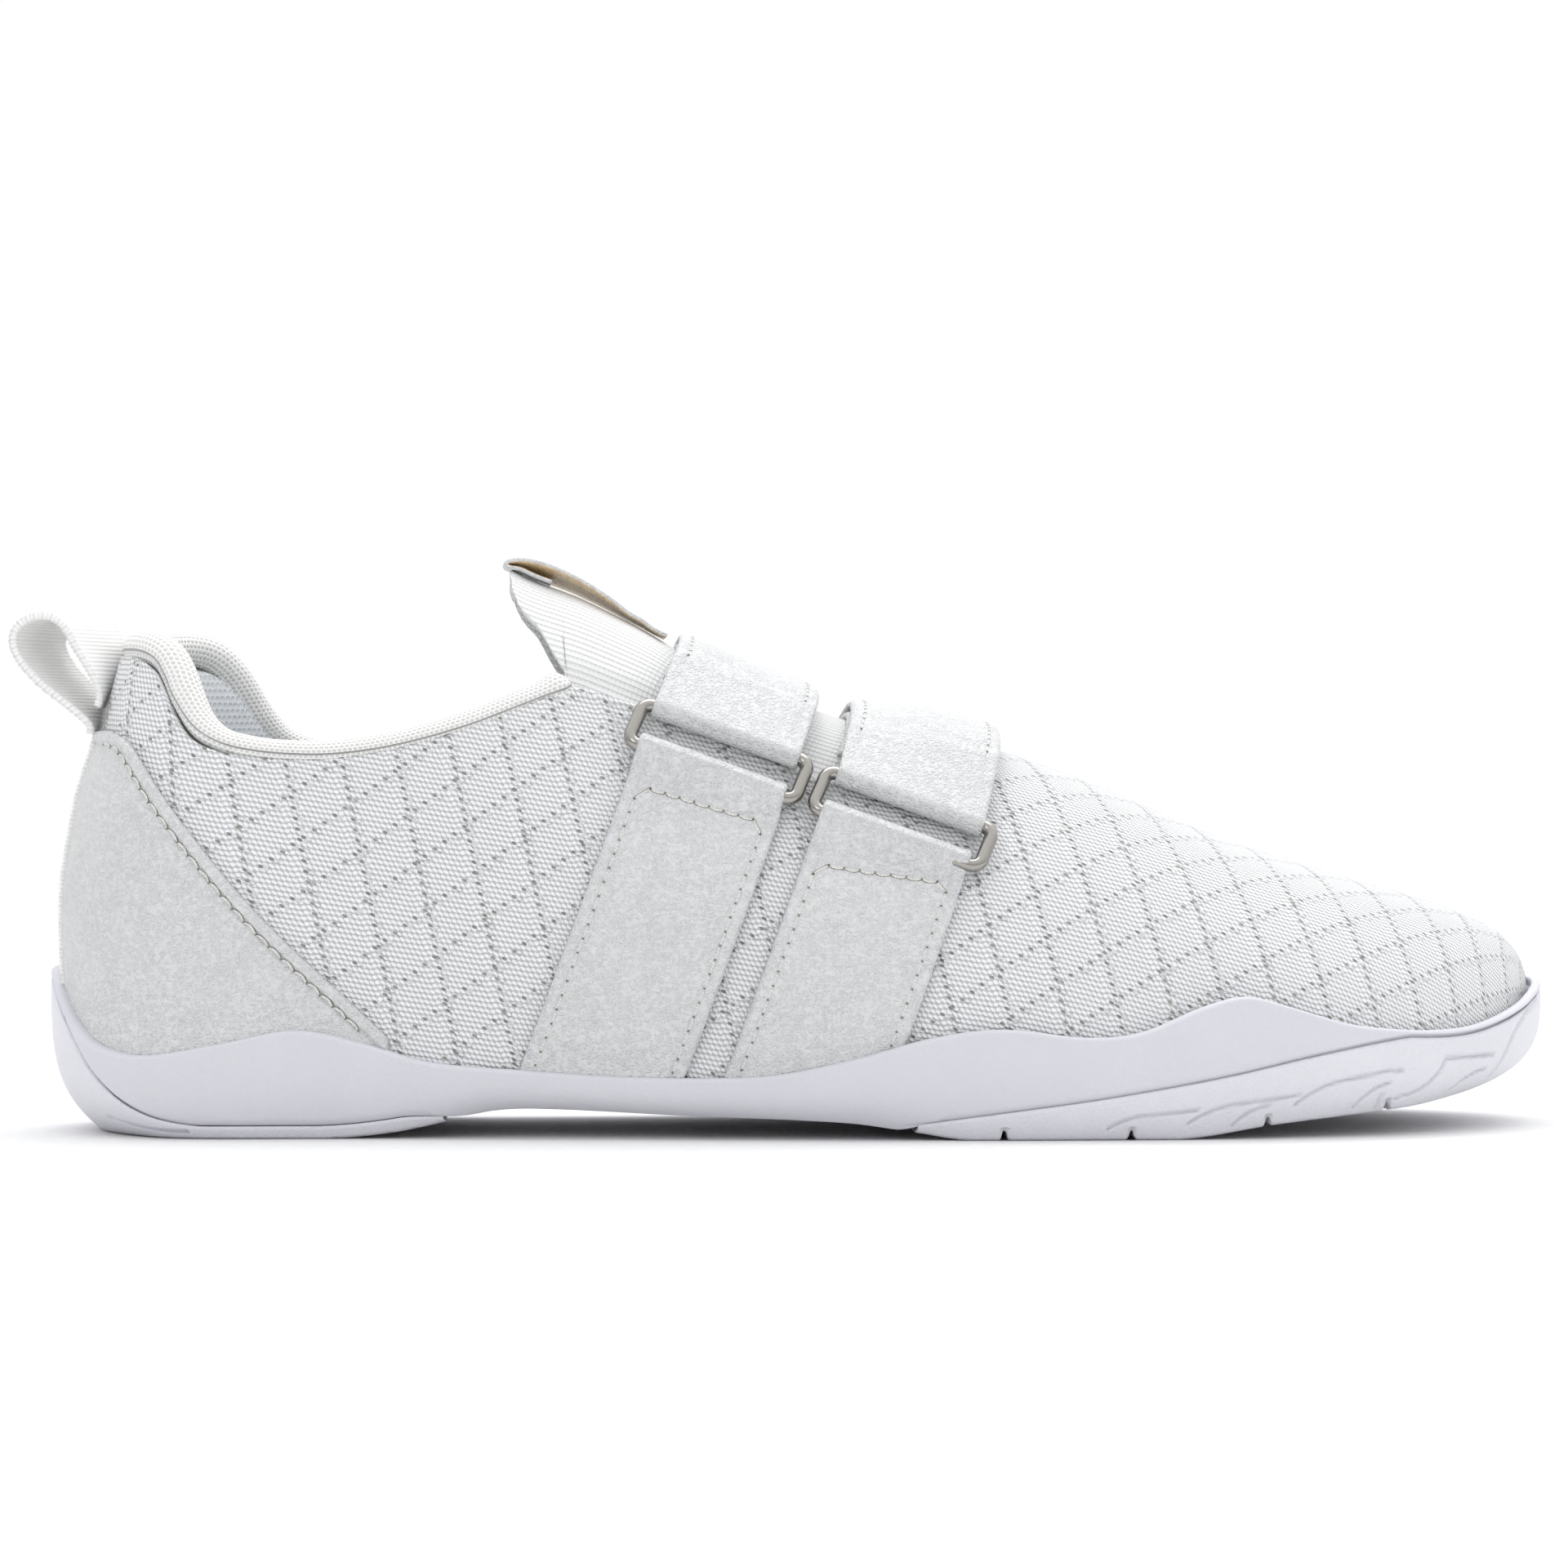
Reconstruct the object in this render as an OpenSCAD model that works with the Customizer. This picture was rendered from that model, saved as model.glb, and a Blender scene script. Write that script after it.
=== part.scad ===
// Slip-on cheer shoe for the right foot: a knit upper on a cupped sole, held by two straps
// that pass through metal rings and fold back on hook-and-loop tape.
//
// +X points to the toe, +Y to the inner side of the foot and +Z up. The floor is z = 0.
// Most pieces are sheets that follow one surface, last(x, th, t):
//   x   place along the shoe, from the back of the heel
//   th  place round the foot, 0 at the outer edge, 90 on top and 180 at the inner edge
//   t   height above the outside of the knit upper, negative inside it

/* [Sole] */
// Length of the sole
sole_length = 269.9; // [266:0.1:275]
// Half width of the outer side at the ball of the foot
ball_outer = 44.5; // [42:0.5:47]
// Half width of the inner side at the ball of the foot
ball_inner = 44; // [42:0.5:46]
// Half width of the heel
heel_half = 30.5; // [29:0.5:32]
// Thickness of the rubber treads
tread = 2.4; // [2:0.1:2.8]
// Thickness of the sole's rim at its top edge
rim_wall = 2; // [1.8:0.1:2.4]
// Depth of the flex grooves
groove_depth = 1.6; // [1:0.1:1.8]

/* [Straps] */
// Width of the straps
strap_width = 27; // [25:0.5:28]
// Thickness of one strap layer
strap_thick = 1.2; // [1:0.1:1.3]
// Lean of the straps towards the toe, from vertical
strap_lean = 20.5; // [19:0.5:22]
// Place of the rear ring along the sole
rear_ring_x = 118.8; // [117:0.2:120]
// Height of the rear ring
rear_ring_z = 67.1; // [66:0.1:68]
// Place of the front ring along the sole
front_ring_x = 149.9; // [149:0.2:151]
// Height of the front ring
front_ring_z = 55.4; // [54.5:0.1:56]

/* [Rings] */
// Diameter of the ring's wire
wire_d = 2.4; // [2.2:0.1:2.4]
// Clear width inside the ring, for the strap
ring_inside = 28.4; // [28.4:0.1:30]
// Distance between the centres of the ring's two bars
bar_gap = 8.6; // [8.6:0.1:10]

/* [Heel] */
// Width of the pull loop and the heel ribbon
ribbon_width = 18; // [14:1:20]
// Thickness of the ribbon
ribbon_thick = 1.2; // [1:0.1:1.4]

/* [Hidden] */

x_heel = 3;                        // back of the knit upper
x_toe = x_heel + sole_length - 4;  // tip of the knit upper
x_mid = (x_heel + x_toe) / 2;
half_len = (x_toe - x_heel) / 2;
origin_x = (x_toe - 3.8) / 2;      // middle of the shoe with its pull loop
origin_y = 0.64 + (ball_inner - ball_outer + 0.5) / 2;
end_gap = 0.02;                    // keeps the two sides apart at the heel and at the toe
sole_out = rim_wall;               // the sole's outside, above the knit
knit = 1.6;                        // thickness of the knit upper
play = 0.3;                        // space between layers that curve over each other

// ---------------------------------------------------------------- curves

function mix(a, b, k) = a + (b - a) * k;
function clip(v, lo, hi) = min(max(v, lo), hi);
function smooth(k) = let (c = clip(k, 0, 1)) c * c * (3 - 2 * c);
function unit(v) = v / norm(v);
function span(p, x, i = 0) = (i >= len(p) - 2 || x < p[i + 1][0]) ? i : span(p, x, i + 1);
function steep(p, i) = let (a = max(i - 1, 0), b = min(i + 1, len(p) - 1))
    (p[b][1] - p[a][1]) / (p[b][0] - p[a][0]);
// Smooth curve through the points p = [[x, y], ...], held level past both ends
function curve(p, x0) = let (x = clip(x0, p[0][0], p[len(p) - 1][0]), i = span(p, x),
        h = p[i + 1][0] - p[i][0], k = (x - p[i][0]) / h)
    (2 * k ^ 3 - 3 * k ^ 2 + 1) * p[i][1] + (k ^ 3 - 2 * k ^ 2 + k) * h * steep(p, i)
    + (3 * k ^ 2 - 2 * k ^ 3) * p[i + 1][1] + (k ^ 3 - k ^ 2) * h * steep(p, i + 1);
// Half width rounding off to nothing over a length a at an end
function rounding(d, a, n) = d >= a ? 1 : (1 - (1 - max(d, 0) / a) ^ n) ^ (1 / n);

// ---------------------------------------------------------------- shape of the last

outer_half = [[0, heel_half], [50, heel_half + 0.5], [90, heel_half + 3], [130, ball_outer - 4.5],
    [170, ball_outer], [200, ball_outer + 2], [235, ball_outer + 5], [270, ball_outer + 7]];
inner_half = [[0, heel_half], [45, heel_half - 0.5], [85, heel_half - 3], [115, heel_half - 2],
    [145, ball_inner - 9], [180, ball_inner - 1], [205, ball_inner - 1], [235, ball_inner - 5],
    [270, ball_inner - 7]];
middle_line = [[0, 0], [150, 0], [200, 2.2], [240, 6], [270, 9]];
// Top of the instep and the vamp, carried back over the ankle opening
top_line = [[0, 122], [50, 118], [70, 109], [84, 100.2], [95, 95.8], [106, 90.4], [112, 87.4],
    [118, 84.5], [126, 81], [133, 78.4], [140, 75.8], [148, 73.7], [156, 71.6], [166, 69],
    [174, 66.6], [186, 62.3], [198, 57.3], [209, 52.7], [223, 48], [237, 43.9], [246, 41.5],
    [254, 38.9], [260, 36.4], [264, 34], [267, 30.6], [268.6, 27.4], [270, 23]];
// Top of the insole board
floor_line = [[0, 9], [60, 8.4], [110, 8.2], [160, 7], [200, 6.6], [225, 7.6], [250, 11],
    [270, 15]];
// How far the back of the heel leans forward, against height
heel_lean = [[0, 3], [20, 1.4], [36, 0.6], [45, 0.9], [53, 2.2], [60, 3.6], [69, 6.4], [78, 8.6],
    [85, 10.6], [90, 12.6]];
// Edge of the ankle opening on each side, against x before the lean
collar_line = [[3, 85.6], [7, 85.4], [10.5, 84.7], [14, 83], [17, 79.9], [19.6, 76.2],
    [23.4, 71.7], [28, 69], [34, 67.6], [42, 66.9], [50, 67], [60, 68.4], [72, 71.6], [82, 75.4],
    [92, 79.2]];
inner_collar_line = [[3, 85.6], [8, 85.8], [15, 85.9], [21, 84.8], [26, 81.8], [30, 77.6],
    [34, 73.2], [38, 70], [44, 67.8], [50, 67.2], [60, 68.4], [72, 71.6], [82, 75.4], [92, 79.2]];
// Edge of the throat under the straps, from the collar to its front end
throat_line = [[92, 79.2], [105, 75.2], [120, 69], [136, 62.6], [148, 61], [157, 63.6],
    [163, 69.6]];
throat_back = 92;
throat_front = 163;
// Top edge of the sole, round the shoe
rim_line = [[3, 29.2], [4.6, 24.4], [7, 20.2], [11, 16.4], [19, 14.6], [33, 16.7], [46, 19],
    [58, 16.6], [68, 13.6], [84, 12.1], [106, 10.9], [126, 11.3], [140, 14], [154, 17.8], [166, 19.3],
    [181, 17.9], [190, 18.8], [201, 23.2], [208, 24.8], [215, 23.2], [226, 20], [234, 18.9],
    [243, 18.4], [250, 18.8], [256, 20.2], [262, 22.4], [266, 24.6], [269.5, 26.4]];
// Underside of the treads and, in the waist, of the midsole
ground_line = [[0, 0], [48, 0], [60, 1], [70, 3], [78, 4.8], [86, 5.2], [110, 4.2], [140, 3],
    [152, 1.4], [162, 0], [198, 0], [216, 2.4], [231, 3.9], [246, 5.2], [258, 6.3], [269.5, 7.6]];
// Top edge of the forefoot tread on the sole's side
tread_line = [[150, 2.6], [163, 4.4], [184, 7.4], [205, 11.1], [221, 14.6], [238, 17.4],
    [248, 17.6], [258, 19.6], [269.5, 25]];
// and of the heel tread
heel_tread_line = [[3, 27.8], [6, 20.6], [8.4, 16], [11.5, 11], [16.5, 6], [22, 3.4], [32, 2.2],
    [76, 2]];
heel_tread_end = 76;
toe_tread_start = 148;

function lean(x, z) = curve(heel_lean, z) * (1 - clip((x - x_heel) / 58, 0, 1)) ^ 2;
function stretch(x, t) = x_mid + (x - x_mid) * (half_len + t) / half_len;

// How far the bottom of the sole's side tucks under: most at the heel and the toe
function tuck(x) = 4 + 5 * (1 - smooth((x - x_heel) / 22)) + 5.5 * smooth((x - 238) / 28);
function sole_low(x) = max(curve(ground_line, x), 0);
function sole_side(x, z) = let (lo = sole_low(x), rim = curve(rim_line, x),
        k = clip((z - lo) / (rim - lo), 0, 1))
    sole_out - tuck(x) * (1 - k) ^ 4;
// The upper is drawn in near the bottom of the cup, to leave room for the sole's wall
wrap = 0.8;                        // thickness of a tread on the sole's side
cup_wall = 0.9;                    // and of the cup behind it
function cup_shift(x, z) = z > curve(rim_line, x) ? 0
    : min(0, sole_side(x, z) - wrap - cup_wall - 0.25);

function half_width(x, outer, t) = outer
    ? (curve(outer_half, x) + t) * rounding(x - x_heel, 33, 2.2) * rounding(x_toe - x, 78, 2.1)
    : (curve(inner_half, x) + t) * rounding(x - x_heel, 33, 2.2) * rounding(x_toe - x, 55, 2.3);
function plan(x, outer, t) = [stretch(x, t),
    curve(middle_line, x) + (outer ? -1 : 1) * half_width(x, outer, t)];
function round_power(x) = 2 + 0.2 * smooth((x - 50) / 40) + 0.2 * smooth((x - 170) / 60);
function last(x, th, t) = let (m = curve(middle_line, x), n = round_power(x),
        lo = curve(floor_line, x), hi = curve(top_line, x) + t,
        z = lo + (hi - lo) * sin(th) ^ (2 / n), p = plan(x, th < 90, t + cup_shift(x, z)))
    [p[0] + lean(x, z), m + (p[1] - m) * abs(cos(th)) ^ (2 / n), z];
// The angle round the foot at which the surface reaches a height
function angle_at(x, z, t = 0) = let (lo = curve(floor_line, x), hi = curve(top_line, x) + t,
        n = round_power(x))
    asin(clip((z - lo) / (hi - lo), 0, 1) ^ (n / 2));
function side_angle(a, outer) = outer ? a : 180 - a;

// ---------------------------------------------------------------- closed sheets

function flat(g) = [for (r = g) each r];
// Solid between two grids of points of the same size. The rows' direction times the columns'
// direction points out of the outer grid. A looped sheet joins its last row to its first.
module sheet(outer, inner, looped = false) {
    m = len(outer);
    n = len(outer[0]);
    rows = looped ? m : m - 1;
    k = m * n;
    function at(i, j, s) = s * k + (i % m) * n + j;
    function quad(a, b, c, d) = [[a, b, c], [a, c, d]];
    faces = concat(
        [for (i = [0 : rows - 1], j = [0 : n - 2])
            each quad(at(i, j, 0), at(i, j + 1, 0), at(i + 1, j + 1, 0), at(i + 1, j, 0))],
        [for (i = [0 : rows - 1], j = [0 : n - 2])
            each quad(at(i, j, 1), at(i + 1, j, 1), at(i + 1, j + 1, 1), at(i, j + 1, 1))],
        [for (i = [0 : rows - 1])
            each quad(at(i, 0, 0), at(i + 1, 0, 0), at(i + 1, 0, 1), at(i, 0, 1))],
        [for (i = [0 : rows - 1])
            each quad(at(i, n - 1, 0), at(i, n - 1, 1), at(i + 1, n - 1, 1), at(i + 1, n - 1, 0))],
        looped ? [] : [for (j = [0 : n - 2])
            each quad(at(0, j, 0), at(0, j, 1), at(0, j + 1, 1), at(0, j + 1, 0))],
        looped ? [] : [for (j = [0 : n - 2])
            each quad(at(m - 1, j, 0), at(m - 1, j + 1, 0), at(m - 1, j + 1, 1), at(m - 1, j, 1))]);
    polyhedron(points = concat(flat(outer), flat(inner)), faces = faces, convexity = 10);
}

// Solid through a stack of rings, each running heel to toe on the outer side and back on the
// inner side. The first and the last ring are closed with a ladder of faces from side to side.
module ring_loft(rings) {
    m = len(rings[0]);
    n = len(rings);
    half = m / 2;
    function at(i, j) = j * m + (i % m);
    function quad(a, b, c, d) = [[a, b, c], [a, c, d]];
    wall = [for (j = [0 : n - 2], i = [0 : m - 1])
        each quad(at(i, j), at(i, j + 1), at(i + 1, j + 1), at(i + 1, j))];
    low = [for (i = [0 : half - 2])
        each quad(at(i, 0), at(i + 1, 0), at(m - 2 - i, 0), at(m - 1 - i, 0))];
    high = [for (i = [0 : half - 2])
        each quad(at(i, n - 1), at(m - 1 - i, n - 1), at(m - 2 - i, n - 1), at(i + 1, n - 1))];
    polyhedron(points = flat(rings), faces = concat(wall, low, high), convexity = 10);
}

// Stations along the shoe, close together at both rounded ends
function stations(a, b, count) = [for (i = [0 : count])
    mix(a, b, (1 - cos(180 * i / count)) / 2)];
function steps(a, b, count) = [for (i = [0 : count]) mix(a, b, i / count)];
x_all = stations(x_heel + end_gap, x_toe - end_gap, 52);
function backwards(v) = [for (i = [len(v) - 1 : -1 : 0]) v[i]];
// One ring round the shoe: x is each station, o is true on the outer side
function round_shoe(xs) = concat([for (x = xs) [x, true]], [for (x = backwards(xs)) [x, false]]);

// ---------------------------------------------------------------- sole

function sole_point(x, outer, z, inset) = let (p = plan(x, outer, sole_side(x, z) - inset))
    [p[0], p[1], z];
// Height of the line where a tread ends on the sole's side
function tread_top(x) = let (rim = curve(rim_line, x) - 1.2)
    x < heel_tread_end ? min(curve(heel_tread_line, x), rim)
    : x > toe_tread_start ? min(curve(tread_line, x), rim) : sole_low(x) + 1;
// A tread's full thickness d, fading out under the waist
function tread_inset(x, d) = x < heel_tread_end ? d * (1 - smooth((x - 62) / 14))
    : d * smooth((x - toe_tread_start) / 9);
function mid_low(x) = sole_low(x) + tread_inset(x, tread + 0.05);
function wall_base(x) = max(tread_top(x), mid_low(x) + 0.05);

module midsole() {
    ring = round_shoe(x_all);
    function side_ring(k) = [for (r = ring) let (x = r[0])
        sole_point(x, r[1], mix(mid_low(x), wall_base(x), k), tread_inset(x, wrap + 0.05))];
    function wall_ring(k) = [for (r = ring) let (x = r[0])
        sole_point(x, r[1], mix(wall_base(x) + 0.2, curve(rim_line, x) - 0.6, k), 0)];
    function cup_ring(t) = [for (r = ring) let (x = r[0], z = curve(rim_line, x),
            p = plan(x, r[1], t))
        [p[0] + lean(x, z) * 0.5, p[1], z]];
    function inner_ring(k) = [for (r = ring) let (x = r[0],
            z = mix(curve(floor_line, x) - 0.15, curve(rim_line, x), k),
            p = plan(x, r[1], 0.25 + cup_shift(x, z)))
        [p[0] + lean(x, z) * k * 0.5, p[1], z]];
    color([0.93, 0.93, 0.95]) ring_loft([side_ring(0), side_ring(0.07), side_ring(0.18),
        side_ring(0.4), side_ring(1), wall_ring(0), wall_ring(0.2), wall_ring(0.5), wall_ring(1),
        cup_ring(sole_out - 0.7), cup_ring(0.25), inner_ring(0.6), inner_ring(0.3), inner_ring(0)]);
}

// A tread is a tray: up its outside, over the edge and down its inside. It is open, and a little
// thinner, at the end towards the waist.
module tread_tray(xs) {
    ring = round_shoe(xs);
    x_end = xs[0] > x_mid ? xs[0] : xs[len(xs) - 1];
    function deep(x) = tread_inset(x, tread - 0.15) - 0.3 * (1 - smooth(abs(x - x_end) / 9));
    function top(x) = let (least = sole_low(x) + deep(x) + 0.05)
        abs(x - x_end) < 1 ? least : max(tread_top(x) - 0.1, least);
    function outside(k) = [for (r = ring) let (x = r[0])
        sole_point(x, r[1], mix(sole_low(x), top(x), k), 0)];
    function inside(k) = [for (r = ring)
        let (x = x_end < x_mid ? min(r[0], x_end - 0.8) : max(r[0], x_end + 0.8))
        sole_point(x, r[1], mix(sole_low(x) + deep(x), top(x), k), tread_inset(x, wrap - 0.25))];
    ring_loft([outside(0), outside(0.07), outside(0.2), outside(0.45), outside(1),
        inside(1), inside(0.4), inside(0.18), inside(0.07), inside(0)]);
}

module forefoot_outsole() {
    color([0.91, 0.91, 0.94]) difference() {
        tread_tray([for (x = x_all) if (x > 150) x]);
        for (g = [[167, 0], [189, 0], [213, 1.9], [235, 4.2]])
            translate([g[0] - 0.5, -60, -2]) cube([1, 120, 2 + g[1] + groove_depth]);
    }
}

module heel_outsole() {
    color([0.91, 0.91, 0.94]) tread_tray([for (x = x_all) if (x < 72) x]);
}

// A flat layer in the cup: the stations' floor height plus lo to hi, drawn in by t
module bed_layer(xs, t, lo, hi) {
    ring = round_shoe(xs);
    function level(dz) = [for (r = ring) let (z = curve(floor_line, r[0]) + dz,
            p = plan(r[0], r[1], t + cup_shift(r[0], z)))
        [p[0] + lean(r[0], z), p[1], z]];
    ring_loft([level(lo), level(hi)]);
}

module lasting_board() color([0.85, 0.8, 0.7]) bed_layer(x_all, -knit - 0.7, 0, 1.2);

module insole() color([0.92, 0.92, 0.9])
    bed_layer(stations(x_heel + 0.3, x_toe - 0.3, 36), -5.4, 1.35, 4.4);

// ---------------------------------------------------------------- knit upper and its inside

function collar_z(x, outer) = curve(outer ? collar_line : inner_collar_line, x);
// Half thickness of the collar's roll across its run, and the knit's distance below its middle
function roll_high(x, outer) = mix(3.1, 2.25, smooth((x - (outer ? 14 : 26)) / 16));
function collar_point(x, outer, t) = let (a = angle_at(x, collar_z(x, outer), t))
    last(x, side_angle(a, outer), t);
function run_slope(x, outer) = let (d = collar_point(x + 0.4, outer, 0)
        - collar_point(max(x - 0.4, x_heel), outer, 0))
    norm(d) / norm([d[0], d[1]]);
function binding_drop(x, outer) = (0.93 * roll_high(x, outer) + 0.15)
    * run_slope(min(x, throat_back - 1), outer);
function knit_edge(x, outer) = x < throat_back ? collar_z(x, outer) - binding_drop(x, outer)
    : curve(throat_line, x)
        - binding_drop(throat_back, outer) * (1 - smooth((x - throat_back) / 2));

// Two sides joined round the heel as far as the front of the throat, and the closed vamp before it.
// The knit lies in patches a hair apart, so that every patch's hull is a thin shell too.
hair = 0.1;
// The stations xs from number a to number b, starting a hair late
function patch(xs, a, b) = concat([xs[a] + hair], [for (i = [a + 1 : b]) xs[i]]);
module knit_upper() {
    side_xs = concat([for (k = steps(0, 1, 20)) mix(x_heel + end_gap, 88, 1 - cos(90 * k))],
        [92, 94, 98, 102, 106, 110, 114, 118, 122, 130, 138, 145, 151, 155, 158.5, 161.5,
            throat_front]);
    function reach(x, outer) = x > throat_front - hair ? 89.9
        : min(angle_at(x, knit_edge(x, outer)), 89.9);
    function side_line(x, outer, t, low, high) = [for (k = steps(low, high, round(high - low)))
        last(x, side_angle(reach(x, outer) * k / 9, outer), t)];
    module side_patch(a, b, low, high) for (outer = [true, false]) {
        xs = patch(side_xs, a, b);
        ordered = outer ? xs : backwards(xs);
        sheet([for (x = ordered) side_line(x, outer, 0, low, high)],
            [for (x = ordered) side_line(x, outer, -knit, low, high)]);
    }
    heel = concat([for (i = [4 : -1 : 0]) [side_xs[i], false]], [for (i = [0 : 4]) [side_xs[i], true]]);
    vamp_xs = [for (k = steps(0, 1, 20)) mix(throat_front, x_toe - end_gap, sin(90 * k))];
    module vamp_patch(a, b, low, high) {
        function row(x, t) = [for (th = steps(low, high, round((high - low) / 10))) last(x, th, t)];
        xs = patch(vamp_xs, a, b);
        sheet([for (x = xs) row(x, 0)], [for (x = xs) row(x, -knit)]);
    }
    color("white") {
        sheet([for (s = heel) side_line(s[0], s[1], 0, 0, 9)],
            [for (s = heel) side_line(s[0], s[1], -knit, 0, 9)]);
        for (c = [[4, 8], [8, 12], [12, 16], [16, 20]]) side_patch(c[0], c[1], 0, 9);
        for (c = [[20, 28], [28, 33], [33, 37]], k = [[0, 4], [4.02, 9]])
            side_patch(c[0], c[1], k[0], k[1]);
        for (c = [[0, 5], [5, 10], [10, 20]],
                th = [[0, 39.9], [40.1, 89.9], [90.1, 139.9], [140.1, 180]])
            vamp_patch(c[0], c[1], th[0], th[1]);
    }
}

// A band round the heel between two heights given as curves of x, the upper one for each side
module heel_band(xs, low, high, t_in, t_out, n) {
    ring = concat([for (x = backwards(xs)) [x, false]], [for (x = xs) [x, true]]);
    function line(x, outer, t) = [for (k = steps(0, 1, n))
        let (z = mix(curve(low, x), curve(high[outer ? 0 : 1], x), k))
        last(x, side_angle(angle_at(x, z), outer), curve(t, z))];
    sheet([for (r = ring) line(r[0], r[1], t_out)], [for (r = ring) line(r[0], r[1], t_in)]);
}
function heel_stations(x_end, count) = [for (k = steps(0, 1, count))
    mix(x_heel + 0.15, x_end, 1 - cos(90 * k))];
function level_line(z) = [[0, z], [300, z]];
function both(line) = [line, line];
// The knit's top edge under the collar, lowered by d, on each side
function collar_less(d) = [for (o = [true, false])
    [for (p = o ? collar_line : inner_collar_line) [p[0], p[1] - binding_drop(p[0], o) - d]]];

module heel_counter() color([0.88, 0.84, 0.76])
    heel_band(heel_stations(62, 12), level_line(11), both([[0, 50], [30, 46], [62, 30]]),
        level_line(-knit - 1.4), level_line(-knit - 0.45), 4);

module collar_foam() color([0.95, 0.93, 0.8])
    heel_band(heel_stations(88, 16), [[0, 52], [30, 48], [62, 46], [88, 58]], collar_less(0.2),
        [[45, -3.4], [60, -5], [90, -6.2]], level_line(-knit - 0.35), 4);

module heel_lining() color([0.9, 0.93, 0.95])
    heel_band(heel_stations(90, 16), level_line(10.2), collar_less(0.2),
        [[10, -4.2], [40, -4.3], [60, -6.4], [90, -7.6]],
        [[10, -3.4], [40, -3.6], [60, -5.6], [90, -6.8]], 6);

module toe_puff() {
    xs = [for (k = steps(0, 1, 12)) mix(228, x_toe - 7, sin(90 * k))];
    function row(x, t) = [for (th = steps(8, 172, 14)) last(x, th, t)];
    color([0.88, 0.84, 0.76])
        sheet([for (x = xs) row(x, -knit - 0.9)], [for (x = xs) row(x, -knit - 1.7)]);
}

// Padded roll that closes the edge of the ankle opening
module collar_binding() {
    xs = heel_stations(throat_back, 22);
    ring = concat([for (x = backwards(xs)) [x, false]], [for (x = xs) [x, true]]);
    centre_t = -2.9;
    last_i = len(ring) - 1;
    function centre(i) = let (r = ring[clip(i, 0, last_i)]) collar_point(r[0], r[1], centre_t);
    function section(i) = let (run = unit(centre(i + 1) - centre(i - 1)),
            out = unit([-run[1], run[0], 0]) * -1, up = cross(run, out) * -1,
            h = roll_high(ring[i][0], ring[i][1]))
        [for (a = [330 : -30 : 0]) centre(i) + out * 3.1 * cos(a) + up * h * sin(a)];
    tube([for (i = [0 : last_i]) section(i)]);
}

// Solid tube through closed sections, capped at both ends
module tube(sections) {
    m = len(sections);
    n = len(sections[0]);
    function at(i, j) = i * n + (j % n);
    color([0.97, 0.97, 0.95]) polyhedron(points = flat(sections), convexity = 8, faces = concat(
        [for (i = [0 : m - 2], j = [0 : n - 1]) each
            [[at(i, j), at(i + 1, j), at(i + 1, j + 1)], [at(i, j), at(i + 1, j + 1), at(i, j + 1)]]],
        [[for (j = [0 : n - 1]) at(0, j)], [for (j = [n - 1 : -1 : 0]) at(m - 1, j)]]));
}

// ---------------------------------------------------------------- heel panels, ribbon and loop

// Leather panel on one side of the heel, from the sole up to a slanting edge
panel_top = [[3, 70.4], [8, 70], [13, 67.4], [24, 55.5], [40, 37.6], [56, 22.6], [64, 15]];
module heel_panel(outer) {
    forwards = [for (k = steps(0, 1, 15)) mix(x_heel + 1.25, 61.5, 1 - cos(90 * k))];
    xs = outer ? forwards : backwards(forwards);
    function line(x, t) = let (lo = curve(rim_line, x) + 0.4, hi = max(curve(panel_top, x), lo + 0.5))
        [for (k = steps(0, 1, 7)) last(x, side_angle(angle_at(x, mix(lo, hi, k)), outer), t)];
    color([0.95, 0.95, 0.94]) sheet([for (x = xs) line(x, play + 1)], [for (x = xs) line(x, play)]);
}

function back_x(z, t) = x_heel - t * 0.99 + lean(x_heel, z);

// Ribbon sewn down the back seam; the pull loop is sewn over its top end
module heel_ribbon() color([0.96, 0.96, 0.95])
    heel_band([for (k = steps(0, 1, 4)) mix(x_heel + end_gap, x_heel + 1, 1 - cos(90 * k))],
        level_line(30.2), both(level_line(69.2)), level_line(play), level_line(play + ribbon_thick),
        8);

// Middle line of the pull loop, seen from the side, from its sewn end round to the knit
loop_path = [[back_x(70.4, 0.9), 70.4], [8.6, 72.2], [7.6, 74.4], [5.6, 77], [2.6, 80], [0, 83],
    [-1.4, 85.8], [-1.3, 88.2], [0.2, 90.1], [2.6, 91.1], [5, 91], [7.2, 89.6], [8.8, 87], [10, 84],
    [10.6, 80.8], [10.5, 77.8], [9.6, 75.2]];
loop_turn = 25;                    // the free part of the loop is turned towards the outer side
module pull_loop() {
    n = len(loop_path) - 1;
    function turn(i) = loop_turn * smooth(min(i, n - i) / 4);
    function row(i, h) = let (a = loop_path[max(i - 1, 0)], b = loop_path[min(i + 1, n)],
            d = unit(b - a), c = loop_path[i] + [-d[1], d[0]] * h)
        [for (y = steps(-0.5, 0.5, 2)) [c[0] + y * ribbon_width * sin(turn(i)),
            y * ribbon_width * cos(turn(i)), c[1]]];
    color([0.97, 0.97, 0.96]) sheet([for (i = [0 : n]) row(i, ribbon_thick / 2)],
        [for (i = [0 : n]) row(i, -ribbon_thick / 2)]);
}

// ---------------------------------------------------------------- tongue

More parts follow.
